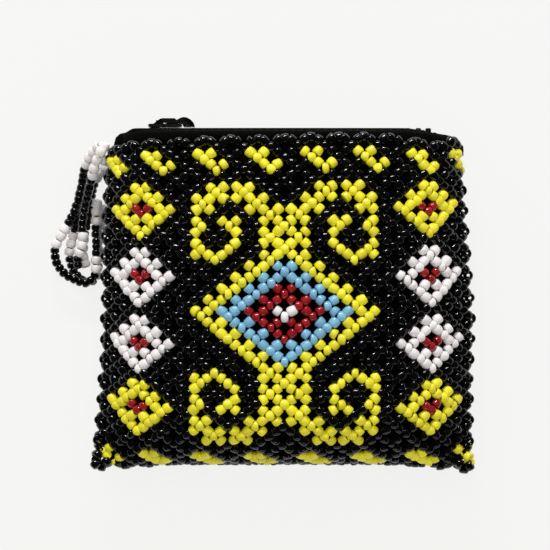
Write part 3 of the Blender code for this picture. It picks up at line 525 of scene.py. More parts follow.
def list_fields():
    """Name, beads and colour of each field: the middle diamond, the scrolls, small diamonds and hooks."""
    ring = diamond_ring(0, 0, 6)
    fields = [
        ("centre_white", diamond_ring(0, 0, 0), "white"),
        ("ring_red", diamond_ring(0, 0, 2), "red"),
        ("ring_blue", diamond_ring(0, 0, 4), "blue"),
        ("ring_yellow", ring, "yellow"),
    ]
    for name, rows in (("scrolls_upper", (-12, 0)), ("scrolls_lower", (0, 12))):
        beads = {bead for bead in net_beads(-8, 8, rows) if scroll_bead(*bead)} - ring
        fields.append((name, beads, "yellow"))
    count = 0
    for column in (-11, 11):
        for row, border in ((-9, "yellow"), (-3, "white"), (3, "white"), (9, "yellow")):
            count += 1
            fields.append((f"small_diamond_{count}", diamond_ring(column, row, 2), border))
            fields.append((f"small_heart_{count}", stitch(column, row), "red"))
    for edge, row in (("top", -14), ("bottom", 14)):
        for number, column in enumerate(range(-14, 15, 4), start=1):
            beads = stitch(column, row) | stitch(column + 1, row + 1)
            fields.append((f"hook_{edge}_{number}", beads, "yellow"))
    return fields


def bead_template(sides, section, hole, roundness):
    """Points and quads of a bead of unit half length and unit radius, with its hole along X."""
    middle, half_wall = (1 + hole) / 2, (1 - hole) / 2
    outer = [pi * k / section for k in range(section + 1)]
    inner = [pi + pi * k / 3 for k in (1, 2)]
    profile = []
    for angle in outer + inner:
        run = copysign(abs(cos(angle)) ** (2 / roundness), cos(angle))
        rise = copysign(abs(sin(angle)) ** (2 / roundness), sin(angle))
        profile.append((run, middle + half_wall * rise))
    points = []
    for k in range(sides):
        turn = 2 * pi * k / sides
        points += [(run, rise * cos(turn), rise * sin(turn)) for run, rise in profile]
    count = len(profile)
    quads = []
    for k in range(sides):
        near, far = k * count, (k + 1) % sides * count
        for n in range(count):
            after = (n + 1) % count
            quads.append((near + n, near + after, far + after, far + n))
    return np.array(points), np.array(quads)


def thread_beads(name, places, template, sizes, spreads, seed):
    """One mesh of many beads, each a little different, with a tone for each bead."""
    rng = random.Random(seed)
    shape, quads = template
    length, diameter = sizes
    size_spread, tilt_spread, place_spread = spreads
    wedge_spread = bpy.context.scene.clutch_beads.wedge_spread
    points = np.empty((len(places), len(shape), 3))
    tones = np.empty((len(places), len(shape)))
    for n, (centre, along, out) in enumerate(places):
        across = out.cross(along).normalized()
        up = along.cross(across)
        turned = Matrix((along, across, up)).transposed()
        turned = turned @ Euler([rng.uniform(-tilt_spread, tilt_spread) for _ in range(3)]).to_matrix()
        scale = [
            length / 2 * rng.uniform(1 - 1.5 * size_spread, 1 + 1.2 * size_spread),
            diameter / 2 * rng.uniform(1 - size_spread, 1),
            diameter / 2 * rng.uniform(1 - size_spread, 1),
        ]
        shift = Vector([rng.uniform(-place_spread, place_spread) for _ in range(3)])
        shift -= out * shift.dot(out)
        wedge = 1 + rng.uniform(-wedge_spread, wedge_spread) * shape[:, :1]
        narrowed = np.hstack((shape[:, :1], shape[:, 1:] * wedge))
        points[n] = (narrowed * scale) @ np.array(turned.transposed()) + np.array(centre + shift)
        tones[n] = rng.random()
    faces = (quads[None] + np.arange(len(places))[:, None, None] * len(shape)).reshape(-1, 4)
    mesh = bpy.data.meshes.new(name)
    mesh.from_pydata(points.reshape(-1, 3).tolist(), [], faces.tolist())
    mesh.shade_smooth()
    tone = mesh.attributes.new("tone", "FLOAT", "POINT")
    tone.data.foreach_set("value", tones.ravel())
    return link(bpy.data.objects.new(name, mesh))


def link(item):
    bpy.context.scene.collection.objects.link(item)
    return item


def mesh_piece(name, bm, smooth_angle=None):
    bmesh.ops.recalc_face_normals(bm, faces=bm.faces)
    mesh = bpy.data.meshes.new(name)
    bm.to_mesh(mesh)
    bm.free()
    if smooth_angle is not None:
        mesh.shade_smooth()
        mesh.set_sharp_from_angle(angle=smooth_angle)
    return link(bpy.data.objects.new(name, mesh))


def dress(piece, material, body, slot, *nodes):
    """Gives a piece its material and the body that it moves with, and hides the solids that it stands for.
    The slot argument is not used.
    """
    piece.data.materials.clear()
    piece.data.materials.append(material)
    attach(piece, body)
    if nodes:
        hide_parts(*nodes)
    return piece


# Shader groups

def new_group(name, inputs, outputs):
    tree = bpy.data.node_groups.new(name, "ShaderNodeTree")
    for label, kind, value in inputs:
        socket = tree.interface.new_socket(name=label, in_out="INPUT", socket_type=kind)
        if value is not None:
            socket.default_value = value
    for label, kind in outputs:
        tree.interface.new_socket(name=label, in_out="OUTPUT", socket_type=kind)
    return tree, tree.nodes.new("NodeGroupInput"), tree.nodes.new("NodeGroupOutput")


def math_node(tree, operation, first, second):
    node = tree.nodes.new("ShaderNodeMath")
    node.operation = operation
    for socket, value in zip(node.inputs, (first, second)):
        if isinstance(value, (int, float)):
            socket.default_value = value
        else:
            tree.links.new(value, socket)
    return node.outputs[0]


def mix_colours(tree, share, first, second):
    node = tree.nodes.new("ShaderNodeMix")
    node.data_type = "RGBA"
    tree.links.new(share, node.inputs["Factor"])
    tree.links.new(first, node.inputs["A"])
    tree.links.new(second, node.inputs["B"])
    return node.outputs["Result"]


def glaze_group():
    """Glass that differs from bead to bead, with faint clouds inside a bead."""
    name = "uneven_glaze"
    if name in bpy.data.node_groups:
        return bpy.data.node_groups[name]
    tree, given, result = new_group(
        name,
        (("Light", "NodeSocketColor", None), ("Deep", "NodeSocketColor", None),
         ("Cloud Scale", "NodeSocketFloat", 900.0), ("Cloud Share", "NodeSocketFloat", 0.3)),
        (("Color", "NodeSocketColor"), ("Clouds", "NodeSocketFloat")),
    )
    tone = tree.nodes.new("ShaderNodeAttribute")
    tone.attribute_name = "tone"
    place = tree.nodes.new("ShaderNodeTexCoord")
    clouds = tree.nodes.new("ShaderNodeTexNoise")
    tree.links.new(place.outputs["Object"], clouds.inputs["Vector"])
    tree.links.new(given.outputs["Cloud Scale"], clouds.inputs["Scale"])
    cloudy = math_node(tree, "MULTIPLY", clouds.outputs["Fac"], given.outputs["Cloud Share"])
    share = math_node(tree, "ADD", math_node(tree, "MULTIPLY", tone.outputs["Fac"], 0.7), cloudy)
    mixed = mix_colours(tree, share, given.outputs["Light"], given.outputs["Deep"])
    tree.links.new(mixed, result.inputs["Color"])
    tree.links.new(clouds.outputs["Fac"], result.inputs["Clouds"])
    return tree


def weave_group():
    """Plain weave in two thread directions, as height, and as colour that is darker where the weave is low:
    painted shade in the gaps between the threads.
    """
    name = "plain_weave"
    if name in bpy.data.node_groups:
        return bpy.data.node_groups[name]
    tree, given, result = new_group(
        name,
        (("Thread", "NodeSocketColor", None), ("Gap", "NodeSocketColor", None),
         ("Threads per metre", "NodeSocketFloat", 2500.0)),
        (("Color", "NodeSocketColor"), ("Height", "NodeSocketFloat")),
    )
    place = tree.nodes.new("ShaderNodeTexCoord")
    waves = []
    for direction in ("X", "Y", "Z"):
        wave = tree.nodes.new("ShaderNodeTexWave")
        wave.bands_direction = direction
        wave.inputs["Distortion"].default_value = 0.6
        wave.inputs["Detail"].default_value = 1.0
        tree.links.new(place.outputs["Object"], wave.inputs["Vector"])
        tree.links.new(given.outputs["Threads per metre"], wave.inputs["Scale"])
        waves.append(wave.outputs["Fac"])
    crossed = math_node(tree, "MULTIPLY", math_node(tree, "ADD", waves[0], waves[1]), waves[2])
    height = math_node(tree, "MULTIPLY", crossed, 0.5)
    # The colour follows the height: the low gaps between threads get painted shade.
    shaded_weave = mix_colours(tree, height, given.outputs["Gap"], given.outputs["Thread"])
    tree.links.new(shaded_weave, result.inputs["Color"])
    tree.links.new(height, result.inputs["Height"])
    return tree


def handling_group():
    """Faint rubbing and dust from handling, as a mask for colour and roughness."""
    name = "handling_marks"
    if name in bpy.data.node_groups:
        return bpy.data.node_groups[name]
    tree, given, result = new_group(
        name,
        (("Clean", "NodeSocketColor", None), ("Rubbed", "NodeSocketColor", None),
         ("Smooth", "NodeSocketFloat", 0.2), ("Dull", "NodeSocketFloat", 0.4),
         ("Scale", "NodeSocketFloat", 600.0)),
        (("Color", "NodeSocketColor"), ("Roughness", "NodeSocketFloat"), ("Height", "NodeSocketFloat")),
    )
    place = tree.nodes.new("ShaderNodeTexCoord")
    marks = tree.nodes.new("ShaderNodeTexNoise")
    marks.inputs["Detail"].default_value = 6.0
    tree.links.new(place.outputs["Object"], marks.inputs["Vector"])
    tree.links.new(given.outputs["Scale"], marks.inputs["Scale"])
    mask = tree.nodes.new("ShaderNodeMapRange")
    mask.inputs["From Min"].default_value = 0.45
    mask.inputs["From Max"].default_value = 0.75
    tree.links.new(marks.outputs["Fac"], mask.inputs["Value"])
    share = mask.outputs["Result"]
    marked = mix_colours(tree, share, given.outputs["Clean"], given.outputs["Rubbed"])
    tree.links.new(marked, result.inputs["Color"])
    spread = math_node(tree, "SUBTRACT", given.outputs["Dull"], given.outputs["Smooth"])
    rough = math_node(tree, "ADD", math_node(tree, "MULTIPLY", spread, share), given.outputs["Smooth"])
    tree.links.new(rough, result.inputs["Roughness"])
    tree.links.new(marks.outputs["Fac"], result.inputs["Height"])
    return tree


def new_material(name, **values):
    """A material with a Principled BSDF, whose plain values are set on its own sockets."""
    material = bpy.data.materials.new(name)
    material.use_nodes = True
    shader = material.node_tree.nodes["Principled BSDF"]
    for label, value in values.items():
        shader.inputs[label.replace("_", " ")].default_value = value
    return material, shader


def place_group(material, group, **values):
    node = material.node_tree.nodes.new("ShaderNodeGroup")
    node.node_tree = group
    for label, value in values.items():
        node.inputs[label.replace("_", " ")].default_value = value
    return node


def add_bump(material, shader, height, distance, strength):
    bump = material.node_tree.nodes.new("ShaderNodeBump")
    bump.inputs["Distance"].default_value = distance
    bump.inputs["Strength"].default_value = strength
    material.node_tree.links.new(height, bump.inputs["Height"])
    material.node_tree.links.new(bump.outputs["Normal"], shader.inputs["Normal"])


def opaque(colour, gain=1.0):
    return (*[min(1.0, part * gain) for part in colour], 1.0)


# Tones of the thread, the gaps between threads (darker, as painted shade) and the rubbed lacquer next to the
# plain colour
THREAD_GAIN, GAP_SHADE_GAIN, RUB_GAIN = 1.5, 0.4, 2.2
# Light tone of a bead next to the plain colour
LIGHT_GAIN = 1.06
# Depth of the surface's unevenness in glass, cloth and lacquer
GLASS_UNEVEN, WEAVE_DEPTH, LACQUER_UNEVEN = 0.04 * MM, 0.15 * MM, 0.02 * MM
# Roughness, share of the deeper tone, and coat of each glass
GLASS_FINISH = {
    "black": (0.17, 0.4, 0.0),
    "white": (0.34, 0.9, 0.25),
    "yellow": (0.34, 0.8, 0.25),
    "blue": (0.34, 0.8, 0.25),
    "red": (0.2, 0.7, 0.3),
}


def glass_material(colour_name):
    name = f"{colour_name}_glass"
    if name in bpy.data.materials:
        return bpy.data.materials[name]
    colour = getattr(bpy.context.scene.clutch_colours, colour_name)
    roughness, deep, coat = GLASS_FINISH[colour_name]
    material, shader = new_material(
        name, Roughness=roughness, Coat_Weight=coat, Coat_Roughness=0.12, IOR=1.52)
    glaze = place_group(
        material, glaze_group(), Light=opaque(colour, LIGHT_GAIN), Deep=opaque(colour, deep), Cloud_Share=0.3)
    links = material.node_tree.links
    links.new(glaze.outputs["Color"], shader.inputs["Base Color"])
    add_bump(material, shader, glaze.outputs["Clouds"], GLASS_UNEVEN, 0.5)
    return material


def cloth_material(name, threads, strength):
    if name in bpy.data.materials:
        return bpy.data.materials[name]
    colour = bpy.context.scene.clutch_colours.cloth
    material, shader = new_material(
        name, Roughness=0.85, Sheen_Weight=0.03, Sheen_Roughness=0.5, Specular_IOR_Level=0.04)
    # The gaps between the threads are painted darker, as shade.
    weave = place_group(
        material, weave_group(), Thread=opaque(colour, THREAD_GAIN), Gap=opaque(colour, GAP_SHADE_GAIN))
    weave.inputs["Threads per metre"].default_value = threads
    material.node_tree.links.new(weave.outputs["Color"], shader.inputs["Base Color"])
    add_bump(material, shader, weave.outputs["Height"], WEAVE_DEPTH, strength)
    return material


def hard_material(name, colour, smooth, dull, metallic, coat):
    if name in bpy.data.materials:
        return bpy.data.materials[name]
    material, shader = new_material(name, Metallic=metallic, Coat_Weight=coat, Coat_Roughness=0.08)
    marks = place_group(
        material, handling_group(), Clean=opaque(colour), Rubbed=opaque(colour, RUB_GAIN),
        Smooth=smooth, Dull=dull)
    links = material.node_tree.links
    links.new(marks.outputs["Color"], shader.inputs["Base Color"])
    links.new(marks.outputs["Roughness"], shader.inputs["Roughness"])
    add_bump(material, shader, marks.outputs["Height"], LACQUER_UNEVEN, 0.4)
    return material


def lacquer():
    return hard_material("black_lacquer", bpy.context.scene.clutch_colours.metal, 0.14, 0.34, 0.35, 0.5)


def tooth_plastic():
    return hard_material("tooth_plastic", bpy.context.scene.clutch_colours.metal, 0.3, 0.5, 0.0, 0.0)


# Hard shapes

def rounded(points, radius, steps=4):
    """A closed outline with each corner turned into a short arc."""
    outline = []
    for n, corner in enumerate(points):
        corner = Vector(corner)
        before = (Vector(points[n - 1]) - corner).normalized()
        after = (Vector(points[(n + 1) % len(points)]) - corner).normalized()
        for step in range(steps + 1):
            share = step / steps
            start, end = corner + before * radius, corner + after * radius
            outline.append(tuple(start.lerp(corner, share).lerp(corner.lerp(end, share), share)))
    return outline


def add_prism(bm, outline, low, high, across, bevel):
    """A flat outline given thickness, with rounded edges. It lies in the XZ plane, or in XY if across."""
    part = bmesh.new()
    corners = [part.verts.new((u, v, low) if across else (u, low, v)) for u, v in outline]
    face = part.faces.new(corners)
    raised = bmesh.ops.extrude_face_region(part, geom=[face], use_keep_orig=True)["geom"]
    reach = Vector((0, 0, high - low)) if across else Vector((0, high - low, 0))
    lifted = [item for item in raised if isinstance(item, bmesh.types.BMVert)]
    bmesh.ops.translate(part, verts=lifted, vec=reach)
    bmesh.ops.recalc_face_normals(part, faces=part.faces)
    if bevel:
        rims = [edge for edge in part.edges if edge.calc_face_angle(0) > radians(40)]
        bmesh.ops.bevel(part, geom=rims, offset=bevel, segments=2, affect="EDGES", clamp_overlap=True)
    mesh = bpy.data.meshes.new("part")
    part.to_mesh(mesh)
    part.free()
    bm.from_mesh(mesh)
    bpy.data.meshes.remove(mesh)


def tube_along(bm, points, radius, sides=6):
    """A round thread along a path, with closed ends."""
    rings = []
    for n, point in enumerate(points):
        ahead = points[min(n + 1, len(points) - 1)] - points[max(n - 1, 0)]
        turn = ahead.to_track_quat("Z", "Y")
        ring = []
        for k in range(sides):
            angle = 2 * pi * k / sides
            ring.append(bm.verts.new(point + turn @ Vector((radius * cos(angle), radius * sin(angle), 0))))
        rings.append(ring)
    for near, far in zip(rings, rings[1:]):
        for k in range(sides):
            after = (k + 1) % sides
            bm.faces.new((near[k], near[after], far[after], far[k]))
    bm.faces.new(rings[0][::-1])
    bm.faces.new(rings[-1])


# Strap

def smooth_route(points):
    """A smooth curve through the route's own points, with its run up to each place."""
    points = [Vector(point) for point in points]
    ends = [2 * points[0] - points[1], *points, 2 * points[-1] - points[-2]]
    fine = []
    for n in range(1, len(ends) - 2):
        a, b, c, d = ends[n - 1:n + 3]
        for k in range(ROUTE_SPANS):
            t = k / ROUTE_SPANS
            fine.append(0.5 * (2 * b + (c - a) * t + (2 * a - 5 * b + 4 * c - d) * t**2
                               + (3 * b - a - 3 * c + d) * t**3))
    fine.append(points[-1])
    run = [0.0]
    for near, far in zip(fine, fine[1:]):
        run.append(run[-1] + (far - near).length)
    return fine, run


def point_at(route, wanted):
    fine, run = route
    place = 0
    while place < len(run) - 2 and run[place + 1] < wanted:
        place += 1
    share = (wanted - run[place]) / (run[place + 1] - run[place])
    return fine[place].lerp(fine[place + 1], share)


def string_beads(route, runs, pitches):
    """Bead places of each colour along a strand. The last colour goes on to the strand's end."""
    strings = {}
    at = 0.0
    total = route[1][-1]
    colours = [colour for number, colour in runs for _ in range(number)]
    while at < total:
        colour = colours.pop(0) if len(colours) > 1 else colours[0]
        step = min(pitches[colour], total - at)
        if step > pitches[colour] / 2:
            start, end = point_at(route, at), point_at(route, at + step)
            strings.setdefault(colour, []).append((start.lerp(end, 0.5), (end - start).normalized(), UP))
        at += step
    return strings


class CLUTCH_OT_strap(bpy.types.Operator):
    """Strings the four strands of the strap loop"""

    bl_idname = "clutch.strap"
    bl_label = "String the strap"

    def execute(self, context):
        beads = context.scene.clutch_beads
        template = bead_template(beads.sides, 8, beads.hole, beads.strap_roundness)
        spreads = (beads.size_spread / 2, beads.tilt_spread, STRAP_STRAY)
        pitches = {"black": beads.strap_pitch, "white": beads.white_pitch}
        diameters = {"black": beads.strap_diameter, "white": beads.white_diameter}
        lean = Vector(KNOT_LEAN).normalized()
        knot = [(Vector(place) * MM, lean, UP) for place in KNOT_PLACES]
        white_sizes = (pitches["white"], diameters["white"])
        knot_beads = thread_beads("strap_knot_beads", knot, template, white_sizes, spreads, beads.seed)
        dress(knot_beads, glass_material("white"), "purse", "white_beads")
        for number, (points, runs) in enumerate(zip(STRAND_ROUTES, STRAND_RUNS), start=1):
            route = smooth_route([[value * MM for value in point] for point in points])
            node = f"strap_strand_{number}"
            pieces = []
            for colour, places in sorted(string_beads(route, runs, pitches).items()):
                sizes = (pitches[colour], diameters[colour])
                seed = beads.seed + number
                piece = thread_beads(f"{node}_{colour}", places, template, sizes, spreads, seed)
                pieces.append(dress(piece, glass_material(colour), "purse", "black_beads", node))
            bm = bmesh.new()
            total = route[1][-1]
            middles = [point_at(route, total * share) for share in np.linspace(0.02, 0.98, THREAD_STEPS)]
            tube_along(bm, middles, beads.strap_diameter * beads.hole / 2)
            thread = mesh_piece(f"{node}_thread", bm, radians(60))
            dress(thread, cloth_material("strap_thread", 6000.0, 0.3), "purse", "black_beads", node)
            main = join_pieces(f"{node}_beads", [*pieces, thread])
        return {"FINISHED"}


def join_pieces(name, pieces):
    """Joins pieces into the first, which keeps the materials of them all."""
    with bpy.context.temp_override(
        active_object=pieces[0], selected_objects=pieces, selected_editable_objects=pieces
    ):
        bpy.ops.object.join()
    pieces[0].name = name
    return pieces[0]


# Net

class CLUTCH_OT_net(bpy.types.Operator):
    """Threads the net: the coloured fields and the black ground of the front and the back"""

    bl_idname = "clutch.net"
    bl_label = "Thread the net"

    def execute(self, context):
        beads = context.scene.clutch_beads
        fine = bead_template(beads.sides, 6, beads.hole, beads.roundness)
        plain = bead_template(beads.sides - 4, 4, beads.hole, beads.roundness)
        sizes = (beads.length, beads.diameter)
        spreads = (beads.size_spread, beads.tilt_spread, beads.place_spread)
        taken = set()
        seed = beads.seed
        fields = list_fields()
        for node, places, colour in fields:
            places = sorted(places - taken)
            taken |= set(places)
            seed += 1
            share = beads.red_share if colour == "red" else 1.0
            piece = thread_beads(
                f"{node}_beads", [net_place(*place) for place in places], fine,
                [size * share for size in sizes], spreads, seed)
            dress(piece, glass_material(colour), "purse", f"{colour}_beads", node)
        halves = ((-HALF_ROWS, 0), (0, HALF_ROWS))
        for name, rows in zip(("ground_front_upper", "ground_front_lower"), halves):
            places = [
                place for place in net_beads(-SIDE_COLUMNS, SIDE_COLUMNS, rows)
                if place not in taken and on_net(*place)
            ]
            taken |= set(places)
            seed += 1
            piece = thread_beads(name, [net_place(*place) for place in places], fine, sizes, spreads, seed)
            dress(piece, glass_material("black"), "purse", "black_beads", "bead_net")
        for name, rows in zip(("ground_back_upper", "ground_back_lower"), halves):
            places = [
                place for place in net_beads(SIDE_COLUMNS, 3 * SIDE_COLUMNS, rows)
                if place not in taken and SIDE_COLUMNS < place[0] < 3 * SIDE_COLUMNS and place[1] < HALF_ROWS
            ]
            taken |= set(places)
            seed += 1
            piece = thread_beads(name, [net_place(*place) for place in places], plain, sizes, spreads, seed)
            dress(piece, glass_material("black"), "purse", "black_beads", "bead_net")
        return {"FINISHED"}


def on_net(column, row):
    return abs(column) < SIDE_COLUMNS or abs(row) < HALF_ROWS


# Cloth

def lining_inset(column, row):
    """The lining swells closer to the beads in the bottom corners."""
    side = abs(column if column <= SIDE_COLUMNS else 2 * SIDE_COLUMNS - column) / SIDE_COLUMNS
    low = smooth_step((row - CORNER_FILL_ROW) / CORNER_FILL_ROWS)
    return LINING_INSET * (1 - CORNER_FILL * smooth_step((side - 0.6) / 0.3) * low)


class CLUTCH_OT_lining(bpy.types.Operator):
    """Sews the black cloth bag inside the net"""

    bl_idname = "clutch.lining"
    bl_label = "Sew the lining"

    def execute(self, context):
        bm = bmesh.new()
        span = LINING_END_ROW - LINING_TOP_ROW
        rows = [LINING_TOP_ROW + span * k / LINING_STEPS for k in range(LINING_STEPS + 1)]
        columns = range(-SIDE_COLUMNS, ROUND_COLUMNS - SIDE_COLUMNS)
        rings = [
            [bm.verts.new(pouch_point(column, row, lining_inset(column, row))) for column in columns]
            for row in rows
        ]
        count = len(columns)
        for upper, lower in zip(rings, rings[1:]):
            for k in range(count):
                after = (k + 1) % count
                bm.faces.new((upper[k], lower[k], lower[after], upper[after]))
        last = rings[-1]
        for k in range(count // 2):
            corners = [last[k], last[k + 1], last[count - k - 1], last[-k]]
            bm.faces.new([corner for n, corner in enumerate(corners) if corner not in corners[:n]])
        lining = mesh_piece("lining_cloth", bm, radians(60))
        wall = lining.modifiers.new("Cloth", "SOLIDIFY")
        wall.thickness = LINING_WALL
        wall.offset = -1.0
        dress(lining, cloth_material("lining_weave", 2600.0, 0.6), "purse", "black_cloth", "lining")
        return {"FINISHED"}


def zip_level(x):
    """The tape sinks towards the corners of the mouth, and sooner on the right."""
    start = RIGHT_SINK_START if x > 0 else TAPE_FLAT
    past = min(1.0, max(0.0, (abs(x) - start) / (TAPE_END - start)))
    return ZIP_Y - (RIGHT_END_DROP if x > 0 else LEFT_END_DROP) * past


def tape_profile(column, front):
    """One side of the tape at a column: the edge by the teeth, the soft swell, the shoulder and the hem."""
    if not front:
        column = 2 * SIDE_COLUMNS - column
    rim = pouch_point(column, -HALF_ROWS, TAPE_INSET)
    hem = pouch_point(column, HEM_ROW, TAPE_INSET)
    level = zip_level(rim.x)
    reach = abs(rim.z - FOLD_Z)
    flat = 1 - smooth_step((abs(rim.x) - TAPE_FLAT) / (TAPE_END - TAPE_FLAT))
    closed = SEAM_GAP / 2 + TAPE_THICKNESS
    edge = min(closed + (RAIL_EDGE + SEAM_GAP - closed) * flat, reach - TAPE_SHOULDER - SEAM_GAP)
    start = RIGHT_SINK_START if rim.x > 0 else TAPE_FLAT
    pillow = TAPE_PILLOW * (1 - smooth_step((abs(rim.x) - start) / (TAPE_END - start)))
    outer = reach - TAPE_SHOULDER
    outward = 1 if front else -1
    profile = [(level, edge)]
    for step in range(1, 8):
        share = step / 8
        profile.append((level + pillow * sin(pi * share**0.7), edge + (outer - edge) * share))
    shoulder = level - TAPE_SHOULDER
    profile.append((level, outer))
    profile.append((level - TAPE_SHOULDER * 0.3, reach - TAPE_SHOULDER * 0.3))
    profile.append((shoulder, reach))
    profile.append((min(hem.y, shoulder - SEAM_GAP), abs(hem.z - FOLD_Z)))
    return [Vector((rim.x, y, FOLD_Z + outward * z)) for y, z in profile]


class CLUTCH_OT_tapes(bpy.types.Operator):
    """Sews the two sides of the zip tape in, each with its row of stitches"""

    bl_idname = "clutch.tapes"
    bl_label = "Sew the zip tapes"

    def execute(self, context):
        spans = 48
        for side, front in (("front", True), ("back", False)):
            bm = bmesh.new()
            rings = []
            for k in range(3, spans - 2):
                column = SIDE_COLUMNS * sin((2 * k / spans - 1) * pi / 2)
                rings.append([bm.verts.new(point) for point in tape_profile(column, front)])
            first, last = rings[0], rings[-1]
            for across, up in LEFT_TUCKS:
                rings.insert(0, [bm.verts.new(vertex.co + Vector((across, up, 0)) * MM) for vertex in first])
            for across, up in RIGHT_TUCKS:
                rings.append([bm.verts.new(vertex.co + Vector((across, up, 0)) * MM) for vertex in last])
            for near, far in zip(rings, rings[1:]):
                for n in range(len(near) - 1):
                    bm.faces.new((near[n], near[n + 1], far[n + 1], far[n]))
            tape = mesh_piece(f"zip_cloth_{side}", bm, radians(60))
            upward = sum(face.normal.y for face in tape.data.polygons)
            wall = tape.modifiers.new("Cloth", "SOLIDIFY")
            wall.thickness = TAPE_THICKNESS
            wall.offset = -1.0 if upward > 0 else 1.0
            dress(tape, cloth_material("tape_weave", 3200.0, 0.5), "purse", "black_cloth", f"zip_tape_{side}")
            self.stitch_hem(side, front)
        return {"FINISHED"}

    def stitch_hem(self, side, front):
        """Short thread stitches along the tape's shoulder."""
        bm = bmesh.new()
        for k in range(HEM_STITCHES):
            points = []
            for share, stand in ((0.15, -STITCH_BITE), (0.5, STITCH_STAND), (0.85, -STITCH_BITE)):
                column = SIDE_COLUMNS * HEM_SHARE * (2 * (k + share) / HEM_STITCHES - 1)
                points.append(tape_profile(column, front)[-5] + Vector((0, stand, 0)))
            tube_along(bm, points, STITCH_RADIUS)
        thread = mesh_piece(f"zip_stitches_{side}", bm, radians(60))
        dress(thread, cloth_material("strap_thread", 6000.0, 0.3), "purse", "black_cloth", f"zip_tape_{side}")


# Zip

class CLUTCH_OT_teeth(bpy.types.Operator):
    """Sets the moulded teeth on their corded edges, and the end stops"""

    bl_idname = "clutch.teeth"
    bl_label = "Set the zip teeth"

    def execute(self, context):
        sizes = context.scene.clutch_zip
        half_height = sizes.tooth_height / 2
        count = floor(2 * CHAIN_HALF / sizes.tooth_pitch)
        start = -count * sizes.tooth_pitch / 2 + (sizes.tooth_pitch - sizes.tooth_length) / 2
        neck = TOOTH_NECK_SHARE * sizes.tooth_length
        for side, outward in (("front", 1), ("back", -1)):
            bm = bmesh.new()
            for number in range(count):
                left = start + number * sizes.tooth_pitch
                right = left + sizes.tooth_length
                waist = FOLD_Z + outward * (sizes.tooth_tip + TOOTH_WAIST)
                head = FOLD_Z + outward * (sizes.tooth_tip + TOOTH_HEAD)
                tip = FOLD_Z + outward * sizes.tooth_tip
                root = FOLD_Z + outward * (RAIL_EDGE - TOOTH_ROOT)
                outline = [
                    (left, root), (left + neck, waist), (left, head), (left + neck, tip),
                    (right - neck, tip), (right, head), (right - neck, waist), (right, root),
                ]
                add_prism(bm, outline, ZIP_Y - half_height, ZIP_Y + half_height, False, TOOTH_BEVEL)
            cord_z = FOLD_Z + outward * (RAIL_EDGE - CORD_SINK)
            cord = [Vector((x, ZIP_Y, cord_z)) for x in np.linspace(-CHAIN_HALF, CHAIN_HALF, 60)]
            tube_along(bm, cord, CORD_RADIUS, sides=8)
            teeth = mesh_piece(f"teeth_{side}", bm, radians(40))
            dress(teeth, tooth_plastic(), "purse", "black_plastic", f"zip_teeth_{side}")
        for node in ("top_stop_front", "top_stop_back", "bottom_stop"):
            low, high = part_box(node)
            bm = bmesh.new()
            corners = [(low[0], low[2]), (high[0], low[2]), (high[0], high[2]), (low[0], high[2])]
            add_prism(bm, rounded(corners, STOP_ROUND), low[1], high[1], False, STOP_BEVEL)
            stop = mesh_piece(f"{node}_crimp", bm, radians(40))
            dress(stop, lacquer(), "purse", "black_metal", node)
        return {"FINISHED"}


